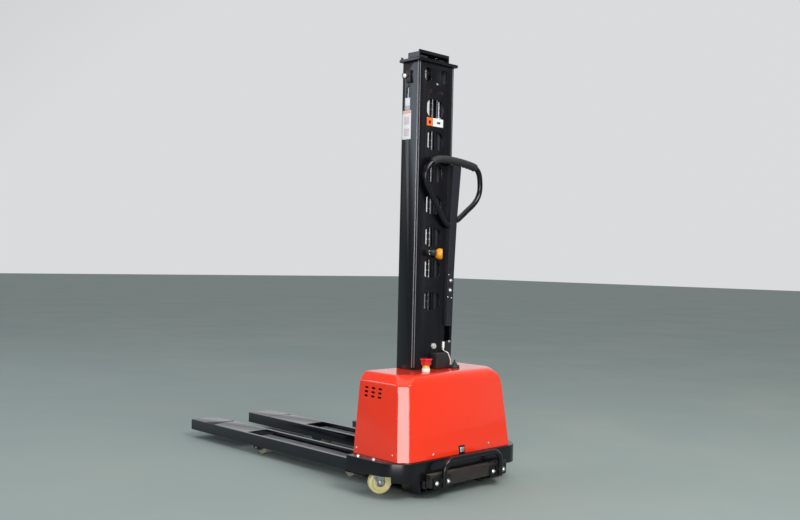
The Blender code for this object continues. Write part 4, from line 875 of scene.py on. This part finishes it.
refined("leg_crossbar", 0.0016, 3, GRIMED)
bar_y, bar_z = -0.823, 0.148
path = [(-0.166, bar_y, 0.0460), (-0.166, bar_y, 0.0700), (-0.166, bar_y, bar_z - 0.045)]
path += [(-0.166 + 0.045 - 0.045 * math.cos(math.radians(a)), bar_y, bar_z - 0.045 + 0.045 * math.sin(math.radians(a))) for a in range(9, 91, 9)]
path += [(x, bar_y, bar_z) for x in (-0.06, 0.0, 0.06)]
path += [(0.166 - 0.045 + 0.045 * math.sin(math.radians(a)), bar_y, bar_z - 0.045 + 0.045 * math.cos(math.radians(a))) for a in range(0, 91, 9)]
path += [(0.166, bar_y, 0.0700), (0.166, bar_y, 0.0460)]
swept("pull_handle_look", path, 0.0103, BLACK, "legs", 28, stands_for=("pull_handle",))
for side_name, side in SIDES:
    boxed("pull_plate_" + side_name, (side * 0.166 - 0.048, side * 0.166 + 0.048), (-0.8140, -0.8083), (0.0445, 0.0870), BLACK, "legs", bevel=0.0016, segments=3)
    for e in (-1, 1):
        hex_bolt("pull_bolt_%s_%s" % (side_name, "a" if e < 0 else "b"), (side * 0.166 + e * 0.0315, -0.8140, 0.0650), (0, -1, 0), "legs", r=0.0070, h=0.0052)
        bead("pull_weld_%s_%s" % (side_name, "a" if e < 0 else "b"), [(side * 0.166 + e * 0.0100, -0.8150, 0.0490), (side * 0.166 + e * 0.0100, -0.8150, 0.0860)],
             0.0020, "legs")
boxed("crossbar_rib", (0.118, 0.224), (-0.8075, -0.7990), (0.0975, 0.1015), FORKPAINT, "legs", bevel=0.0008)

# ------------------------------------------------------------------ casters
yaw = Matrix.Rotation(math.radians(-24.5), 4, "Z")
for side_name, side in SIDES:
    c = Vector((side * 0.309, -0.5875, 0))
    body, roll = "caster_swivel_" + side_name, "caster_wheel_" + side_name
    refined("caster_yoke_" + side_name, 0.0009, 3, ZINC)
    lathe("caster_race_" + side_name, [(0.0218, 0.1090), (0.0265, 0.1100), (0.0285, 0.1150), (0.0285, 0.1215), (0.0260, 0.1255), (0.0218, 0.1262)],
          c, ZINC, body, segments=48, soften=0.0015)
    lathe("caster_kingpin_" + side_name, [(0, 0.0945), (0.0075, 0.0945), (0.0085, 0.0955), (0.0085, 0.0992), (0, 0.0992)], c, ZINC, body, segments=6)
    hub = c + (yaw @ Vector((0.020, 0, 0))) + Vector((0, 0, 0.047))
    axle = yaw @ Vector((0, 1, 0))
    h, r = 0.017, 0.047
    lathe("caster_wheel_%s_look" % side_name,
          [(0.0200, h - 0.0050), (0.0320, h - 0.0045), (0.0350, h - 0.0005), (0.0400, h), (0.0440, h - 0.0020), (0.0463, h - 0.0070), (r, 0.0),
           (0.0463, -h + 0.0070), (0.0440, -h + 0.0020), (0.0400, -h), (0.0350, -h + 0.0005), (0.0320, -h + 0.0045), (0.0200, -h + 0.0050)],
          hub, CREAM, roll, axle, 72, closed=True, soften=0.0012, stands_for=(roll,))
    lathe("caster_hub_" + side_name, [(0.0053, h), (0.0110, h), (0.0120, h - 0.0030), (0.0190, h - 0.0046), (0.0205, h - 0.0060), (0.0205, -h + 0.0060),
                                      (0.0190, -h + 0.0046), (0.0120, -h + 0.0030), (0.0110, -h), (0.0053, -h)],
          hub, ZINC, roll, axle, 48, closed=True, soften=0.0006)
    for e in (-1, 1):
        hex_bolt("caster_axle_%s_%s" % (side_name, "a" if e < 0 else "b"), hub + axle * (e * 0.0226), axle * e, body, r=0.0078, h=0.0055, washer=1.3)

# ------------------------------------------------------------------ console post and loop handle
post = refined("console_post", 0.0, 2, POSTPAINT)
tool = prism("t_post", rounded_rect(0.0880, 0.6080, 0.0400, 0.0640, 0.0015), -0.612, -0.5795, "Y", BLACK, None, bevel=0.0)
cut_with(post, [tool])
post.data.shade_smooth()
post.data.set_sharp_from_angle(angle=math.radians(28))
round_edges(post, 0.0022, 3, 30.0)
crown = [v.co.copy() for v in post.data.vertices if v.co.z > 1.300]
cx0, cx1 = min(v.x for v in crown), max(v.x for v in crown)
cy0, cy1 = min(v.y for v in crown), max(v.y for v in crown)
prism("post_crown", [(cx0 + 0.0012, 1.3020), (cx1 - 0.0020, 1.3020), (cx1 - 0.0020, 1.3075), (cx0 + 0.0012, 1.3120)], cy0 + 0.0015, cy1 - 0.0015, "Y", POSTPAINT,
      "chassis", bevel=0.0005)
boxed("post_back_shadow", (0.0768, 0.1078), (-0.5808, -0.5796), (0.5765, 0.6395), SHADOW, "chassis", bevel=0.0)


def post_rear(z):
    rows = ((0.4675, -0.5900), (0.857, -0.5925), (1.070, -0.5990), (1.306, -0.6140))
    for (za, ya), (zb, yb) in zip(rows, rows[1:]):
        if z <= zb:
            return ya + (yb - ya) * (z - za) / (zb - za)
    return rows[-1][1]


for k, (x, z, r, kind) in enumerate(((0.0850, 0.8530, 0.0034, "pan"), (0.0975, 0.8290, 0.0062, "hex"), (0.0950, 0.7890, 0.0062, "hex"),
                                     (0.0820, 0.7600, 0.0036, "pan"), (0.0985, 0.5740, 0.0056, "pan"), (0.1040, 0.7560, 0.0034, "pan"))):
    if kind == "hex":
        hex_bolt("post_bolt_%d" % k, (x, post_rear(z), z), (0, -1, 0), "chassis", r=r, h=0.0045)
    else:
        pan_screw("post_screw_%d" % k, (x, post_rear(z), z), (0, -1, 0), "chassis", r=r)

LOOP_X = 0.1002
LOOP_LEFT = [(-0.0320, -0.5925, 1.0600), (-0.0560, -0.5925, 1.0800), (-0.0960, -0.5925, 1.1320),
             (-0.1340, -0.5925, 1.1820), (-0.1640, -0.5930, 1.2270), (-0.1690, -0.5950, 1.2680),
             (-0.1490, -0.5990, 1.3030), (-0.1150, -0.6040, 1.3240), (-0.0700, -0.6090, 1.3290),
             (0.0, -0.6110, 1.3262)]
LOOP_RIGHT = [(0.0300, -0.5925, 1.0840), (0.0590, -0.5925, 1.1039), (0.0902, -0.5925, 1.1268),
              (0.1313, -0.5925, 1.1566), (0.1580, -0.5935, 1.1891), (0.1680, -0.5945, 1.2265),
              (0.1595, -0.5980, 1.2760), (0.1410, -0.6010, 1.3015), (0.1130, -0.6040, 1.3134),
              (0.0600, -0.6078, 1.3210), (0.0, -0.6110, 1.3262)]
left = [(LOOP_X + x, y, z) for x, y, z in catmull(LOOP_LEFT, LOOP_LEFT[0], LOOP_RIGHT[-2], 6)]
right = [(LOOP_X + x, y, z) for x, y, z in catmull(LOOP_RIGHT, LOOP_RIGHT[0], LOOP_LEFT[-2], 6)]
line = [(0.0756, -0.5925, 1.0600)] + left + list(reversed(right[:-1])) + [(0.1214, -0.5925, 1.0840)]
swept("loop_handle_look", line, 0.0115, BLACK, "chassis", 28, stands_for=("loop_handle",))
grip = [p for p in line if p[2] > 1.3100]
dense = []
for a, b in zip(grip, grip[1:]):
    dense += [tuple(Vector(a).lerp(Vector(b), k / 3)) for k in range(3)]
dense.append(grip[-1])
n = len(dense)
radii = []
for i in range(n):
    t = i / (n - 1)
    base = 0.0158
    end = min(1.0, min(t, 1 - t) / 0.03)
    ridges = 0.0006 * math.cos(t * 2 * math.pi * 26)
    radii.append((base + ridges) * (0.86 + 0.14 * end))
swept("handle_grip_look", dense, radii, RUBBER, "chassis", 28, stands_for=("handle_grip",))
# finger rests under the right half of the grip
for k in range(5):
    i = int(n * (0.60 + 0.082 * k))
    p = Vector(dense[min(i, n - 1)])
    bm = bmesh.new()
    bmesh.ops.create_uvsphere(bm, u_segments=20, v_segments=12, radius=1.0)
    bmesh.ops.scale(bm, vec=(0.0098, 0.0120, 0.0100), verts=bm.verts)
    bmesh.ops.translate(bm, vec=p + Vector((-0.001, 0.001, -0.0082)), verts=bm.verts)
    make("grip_finger_%d" % k, bm, RUBBER, "chassis")
for name, at, axis in (("loop_weld_left", (0.0762, -0.5925, 1.0600), (1, 0, 0)), ("loop_weld_right", (0.1208, -0.5925, 1.0840), (1, 0, 0))):
    q = aim(axis)
    ring = [Vector(at) + (q @ Vector((0.0122 * math.cos(a * math.pi / 12), 0.0122 * math.sin(a * math.pi / 12), 0))) for a in range(25)]
    ring = [p for p in ring if p.y < -0.5800]
    if len(ring) > 2:
        bead(name, ring, 0.0018, "chassis")

# ------------------------------------------------------------------ controls
refined("switch_box", 0.0030, 4, PLASTIC)
boxed("switch_box_lid", (-0.0020, 0.0735), (-0.6190, -0.6175), (0.4700, 0.5280), PLASTIC, "chassis", bevel=0.0007)
for k, (x, z) in enumerate(((0.0035, 0.4755), (0.0680, 0.4755), (0.0035, 0.5225), (0.0680, 0.5225))):
    pan_screw("switch_box_screw_%d" % k, (x, -0.6190, z), (0, -1, 0), "chassis", r=0.0028, h=0.0014, mat=CHAIN)

lathe("lift_lever_look", [(0, 0.0090), (0.0095, 0.0090), (0.0120, 0.0068), (0.0120, -0.0090), (0, -0.0090)], (-0.0330, -0.5875, 0.9430), PLASTIC,
      "lift_lever", (0, -1, 0), 40, soften=0.0008, stands_for=("lift_lever",))
swept("lever_arm_look", [(-0.0330, -0.5930, 0.9430), (-0.0260, -0.5935, 0.9430), (-0.0200, -0.5945, 0.9428), (-0.0150, -0.5950, 0.9424), (-0.0100, -0.5955, 0.9418),
                         (-0.0050, -0.5950, 0.9410), (0.0020, -0.5945, 0.9400)],
      [0.0100, 0.0110, 0.0128, 0.0136, 0.0128, 0.0098, 0.0072], SATIN, "lift_lever", 28)
for k, z in enumerate((0.9490, 0.9370)):
    pan_screw("lever_screw_%d" % k, (-0.0380, -0.5965, z), (0, -1, 0), "lift_lever", r=0.0026, h=0.0016)
knob_axis = Vector((-0.714, 0.700, 0.0))
kc = Vector((0.0185, -0.6012, 0.9390))
kr = 0.0230
dome = [(0.0, kr)] + [(kr * math.sin(math.radians(a)), kr * math.cos(math.radians(a))) for a in range(6, 112, 5)]
dome += [(0.0205, -0.0092), (0.0, -0.0092)]
lathe("lever_knob_look", dome, kc, ORANGE, "lift_lever", knob_axis, 56, stands_for=("lever_knob",))
lathe("lever_knob_base", [(0, -0.0090), (0.0180, -0.0090), (0.0184, -0.0098), (0.0160, -0.0112), (0.0, -0.0115)], kc, PLASTIC, "lift_lever", knob_axis, 48,
      soften=0.0008)

lathe("key_switch_look", [(0.0073, 0.0), (0.0073, 0.0078), (0.0082, 0.0082), (0.0102, 0.0082), (0.0109, 0.0060), (0.0109, 0.0)], (0.0138, -0.5783, 0.5580), KEYFACE,
      "chassis", (0, -1, 0), 48, soften=0.0004, stands_for=("key_switch",))
lathe("key_nut", [(0.0110, 0.0), (0.0140, 0.0), (0.0140, 0.0022), (0.0110, 0.0026)], (0.0138, -0.5782, 0.5580), ZINC, "chassis", (0, -1, 0), 6)
lathe("key_rotor_look", [(0, 0.0085), (0.0060, 0.0085), (0.0069, 0.0078), (0.0069, 0.0002), (0, 0.0002)], (0.0138, -0.5783, 0.5580), KEYFACE, "key_rotor",
      (0, -1, 0), 40, stands_for=("key_rotor",))
# near-black strip on the key rotor: painted shade in the key slot
boxed("key_slot_mark", (0.0138 - 0.0010, 0.0138 + 0.0010), (-0.58698, -0.5866), (0.5580 - 0.0042, 0.5580 + 0.0042), SHADOW, "key_rotor", bevel=0.0001, segments=1)

STOP = (-0.1060, -0.6550)
lathe("estop_base_look", [(0, 0.4808), (0.0150, 0.4808), (0.0163, 0.4790), (0.0163, 0.4663), (0, 0.4663)], (*STOP, 0), WHITE, "chassis", segments=48,
      soften=0.0008, stands_for=("estop_base",))
lathe("estop_ring_look", [(0, 0.4985), (0.0134, 0.4985), (0.0134, 0.4860), (0.0142, 0.4850), (0.0142, 0.4811), (0, 0.4811)], (*STOP, 0), YELLOW, "chassis",
      segments=48, soften=0.0006, stands_for=("estop_ring",))
lathe("estop_button_look",
      [(0.0, 0.5190), (0.0090, 0.5192), (0.0165, 0.5200), (0.0215, 0.5198), (0.0242, 0.5185), (0.0248, 0.5165), (0.0236, 0.5142), (0.0206, 0.5100), (0.0196, 0.5040),
       (0.0194, 0.4940), (0.0143, 0.4940), (0.0143, 0.5040), (0.0, 0.5040)], (*STOP, 0), STOPRED, "estop_button", segments=56, soften=0.0007,
      stands_for=("estop_button",))
for k in range(14):
    a = k * 2 * math.pi / 14
    boxed("estop_rib_%d" % k, (0.0192, 0.0202), (-0.0012, 0.0012), (0.4955, 0.5070), STOPRED, None, bevel=0.0003, segments=1)
    rib = bpy.data.objects["estop_rib_%d" % k]
    rib.data.transform(Matrix.Translation((*STOP, 0)) @ Matrix.Rotation(a, 4, "Z"))
    settle(rib, "estop_button")

BOOT = (0.0980, -0.6230)
lathe("toggle_collar", [(0.0178, 0.4699), (0.0178, 0.4768), (0.0188, 0.4782), (0.0206, 0.4748), (0.0215, 0.4699)], (*BOOT, 0), RUBBER, "chassis", segments=48,
      closed=True, soften=0.0006)
lathe("toggle_base_look", [(0, 0.4700), (0.0195, 0.4700), (0.0215, 0.4688), (0.0215, 0.4663), (0, 0.4663)], (*BOOT, 0), PLASTIC, "chassis", segments=48,
      soften=0.0006, stands_for=("toggle_base",))
lathe("toggle_boot_look",
      [(0.0, 0.5010), (0.0022, 0.5008), (0.0033, 0.4994), (0.0034, 0.4930), (0.0052, 0.4912), (0.0078, 0.4898), (0.0088, 0.4880), (0.0080, 0.4866), (0.0104, 0.4852),
       (0.0122, 0.4832), (0.0114, 0.4816), (0.0136, 0.4800), (0.0154, 0.4776), (0.0146, 0.4760), (0.0164, 0.4745), (0.0166, 0.4736), (0.0, 0.4736)],
      (*BOOT, 0), RUBBER, "toggle", segments=48, soften=0.0008, stands_for=("toggle_boot",))

# limit switch
refined("limit_switch", 0.0012, 3, PLASTIC)
for k, z in enumerate((1.6815, 1.6425)):
    lathe("limit_ring_%d" % k, [(0.0059, 0.0), (0.0059, 0.0018), (0.0068, 0.0014), (0.0070, 0.0)], (-0.1130, -0.5265, z), EYELET, "chassis", (-1, 0, 0), 32)
    lathe("limit_boss_%d" % k, [(0, 0.0030), (0.0030, 0.0030), (0.0036, 0.0022), (0.0050, 0.0022), (0.0058, 0.0014), (0.0058, 0.0)], (-0.1130, -0.5265, z),
          CHAIN, "chassis", (-1, 0, 0), 32)
refined("limit_arm", 0.0005, 2, BLACK)
lathe("limit_roller", [(0, 0.0066), (0.0034, 0.0061), (0.0064, 0.0044), (0.0084, 0.0012), (0.0088, -0.0012), (0.0086, -0.0028), (0.0070, -0.0036), (0, -0.0036)],
      (-0.1200, -0.5090, 1.6640), WHITE, "limit_arm", (-1, 0, 0), 40)
lathe("limit_roller_dish", [(0, 0.0), (0.0104, 0.0), (0.0108, 0.0008), (0.0090, 0.0014), (0, 0.0014)], (-0.1160, -0.5050, 1.6615), PLASTIC, "limit_arm", (-1, 0, 0), 32)

# connector and its lead
boxed("cable_connector_look", (0.0628, 0.0734), (-0.5895, -0.5786), (0.5450, 0.5745), WHITE, "chassis", bevel=0.0047, segments=5, stands_for=("cable_connector",))
boxed("connector_latch", (0.0648, 0.0714), (-0.5880, -0.5795), (0.5385, 0.5470), IVORY, "chassis", bevel=0.0022, segments=3)
KNOTS = [(0.0680, -0.5850, 0.5420), (0.0625, -0.5920, 0.5385), (0.0570, -0.6040, 0.5362), (0.0540, -0.6155, 0.5352),
         (0.0560, -0.6222, 0.5310), (0.0625, -0.6230, 0.5205), (0.0690, -0.6230, 0.5085), (0.0738, -0.6218, 0.4980),
         (0.0775, -0.6175, 0.4870), (0.0790, -0.6100, 0.4770), (0.0790, -0.6030, 0.4664)]
swept("connector_cable_look", catmull(KNOTS, KNOTS[0], KNOTS[-1], 6), 0.0022, WHITE, "chassis", 16, stands_for=("connector_cable",))


# ------------------------------------------------------------------ labels
def label_side(name, y0, y1, z0, z1, mat, lift=0.0):
    r = min(0.002, (y1 - y0) * 0.2, (z1 - z0) * 0.2)
    prism(name, rounded_rect((y0 + y1) / 2, (z0 + z1) / 2, y1 - y0, z1 - z0, r, 4), -0.1044 - lift, -0.1038 - lift, "X", mat, "chassis", bevel=0.0001)


def label_rear(name, x0, x1, z0, z1, mat, lift=0.0):
    r = min(0.002, (x1 - x0) * 0.2, (z1 - z0) * 0.2)
    prism(name, rounded_rect((x0 + x1) / 2, (z0 + z1) / 2, x1 - x0, z1 - z0, r, 4), -0.5784 - lift, -0.5778 - lift, "Y", mat, "chassis", bevel=0.0001)


label_side("label_small", -0.5300, -0.4996, 1.5240, 1.5760, LABEL_GREY)
label_side("label_small_panel", -0.5270, -0.5030, 1.5430, 1.5730, LABEL_WHITE, 0.0003)
label_side("label_large", -0.5370, -0.4872, 1.4050, 1.5230, LABEL_WHITE)
label_side("label_large_head", -0.5365, -0.4877, 1.5110, 1.5225, LABEL_PEACH, 0.0003)
label_side("label_large_block_a", -0.5270, -0.4990, 1.4660, 1.4980, LABEL_ROSE, 0.0003)
label_side("label_large_block_b", -0.5270, -0.4990, 1.4180, 1.4500, LABEL_ROSE, 0.0003)
label_rear("label_rear_orange", -0.0530, -0.0165, 1.4638, 1.4972, LABEL_ORANGE)
label_rear("label_rear_white", -0.0165, 0.0440, 1.4638, 1.4972, LABEL_WHITE)
label_rear("label_rear_mark_a", -0.0420, -0.0290, 1.4720, 1.4850, INK, 0.0003)
label_rear("label_rear_mark_b", 0.0060, 0.0270, 1.4760, 1.4840, INK, 0.0003)

# ------------------------------------------------------------------ every other CAD node
for node in sorted(NODE_BODY):
    if node not in taken:
        refined(node, 0.0008, 2)


# ------------------------------------------------------------------ stage
def stage():
    bm = bmesh.new()
    bmesh.ops.create_grid(bm, x_segments=2, y_segments=2, size=40.0)
    mesh = bpy.data.meshes.new("floor")
    bm.to_mesh(mesh)
    bm.free()
    floor = bpy.data.objects.new("floor", mesh)
    scene.collection.objects.link(floor)
    n = Net("pale_floor")
    tone = n.mix(n.span(n.noise(0.9, 5.0, 0.6), 0.3, 0.7, 0.0, 1.0), (0.248, 0.304, 0.294), (0.288, 0.326, 0.306))
    n.link(tone, n.bsdf.inputs["Base Color"])
    n.link(n.span(n.noise(3.0, 5.0, 0.6), 0.3, 0.7, 0.80, 0.92), n.bsdf.inputs["Roughness"])
    n.bsdf.inputs["Specular IOR Level"].default_value = 0.06
    bp = n.node("ShaderNodeBump")
    bp.inputs["Strength"].default_value = 0.08
    bp.inputs["Distance"].default_value = 0.002
    n.link(n.noise(60.0, 4.0, 0.6), bp.inputs["Height"])
    n.link(bp.outputs[0], n.bsdf.inputs["Normal"])
    mesh.materials.append(n.mat)

    world = bpy.data.worlds.new("studio")
    scene.world = world
    world.use_nodes = True
    tree = world.node_tree
    back = tree.nodes["Background"]
    back.inputs["Color"].default_value = (0.965, 0.985, 1.0, 1.0)
    coord = tree.nodes.new("ShaderNodeTexCoord")
    dot = tree.nodes.new("ShaderNodeVectorMath")
    dot.operation = "DOT_PRODUCT"
    dot.inputs[1].default_value = (0.60, 0.42, -0.28)
    ramp = tree.nodes.new("ShaderNodeMapRange")
    for key, v in (("From Min", 0.0), ("From Max", 0.58), ("To Min", 0.19), ("To Max", 0.72)):
        ramp.inputs[key].default_value = v
    tree.links.new(coord.outputs["Generated"], dot.inputs[0])
    tree.links.new(dot.outputs["Value"], ramp.inputs["Value"])
    tree.links.new(ramp.outputs[0], back.inputs["Strength"])


def area(name, at, target, size, power, colour=(1, 1, 1)):
    lamp = bpy.data.lights.new(name, "AREA")
    lamp.shape = "RECTANGLE"
    lamp.size, lamp.size_y = size
    lamp.energy = power
    lamp.color = colour
    obj = bpy.data.objects.new(name, lamp)
    obj.location = at
    obj.rotation_mode = "QUATERNION"
    obj.rotation_quaternion = (Vector(target) - Vector(at)).to_track_quat("-Z", "Y")
    obj.visible_camera = False
    scene.collection.objects.link(obj)


stage()
area("window_behind", (-5.2, -5.2, 1.75), (-0.3, -0.6, 1.1), (2.6, 3.4), 262.0, (1.0, 0.995, 0.985))
area("key_rear", (-0.6, -4.6, 4.4), (0.0, -0.5, 0.5), (2.6, 2.0), 225.0, (1.0, 0.985, 0.96))
area("fill_front_left", (-4.6, 3.8, 3.2), (0.0, -0.2, 0.9), (4.0, 2.4), 98.0, (0.76, 0.86, 1.0))
overhead = bpy.data.lights.new("overhead_soft", "SUN")
overhead.energy = 1.12
overhead.angle = math.radians(75)
overhead.color = (0.96, 0.985, 1.0)
canopy = bpy.data.objects.new("overhead_soft", overhead)
canopy.location = (0.0, 0.0, 5.0)
canopy.visible_camera = False
scene.collection.objects.link(canopy)
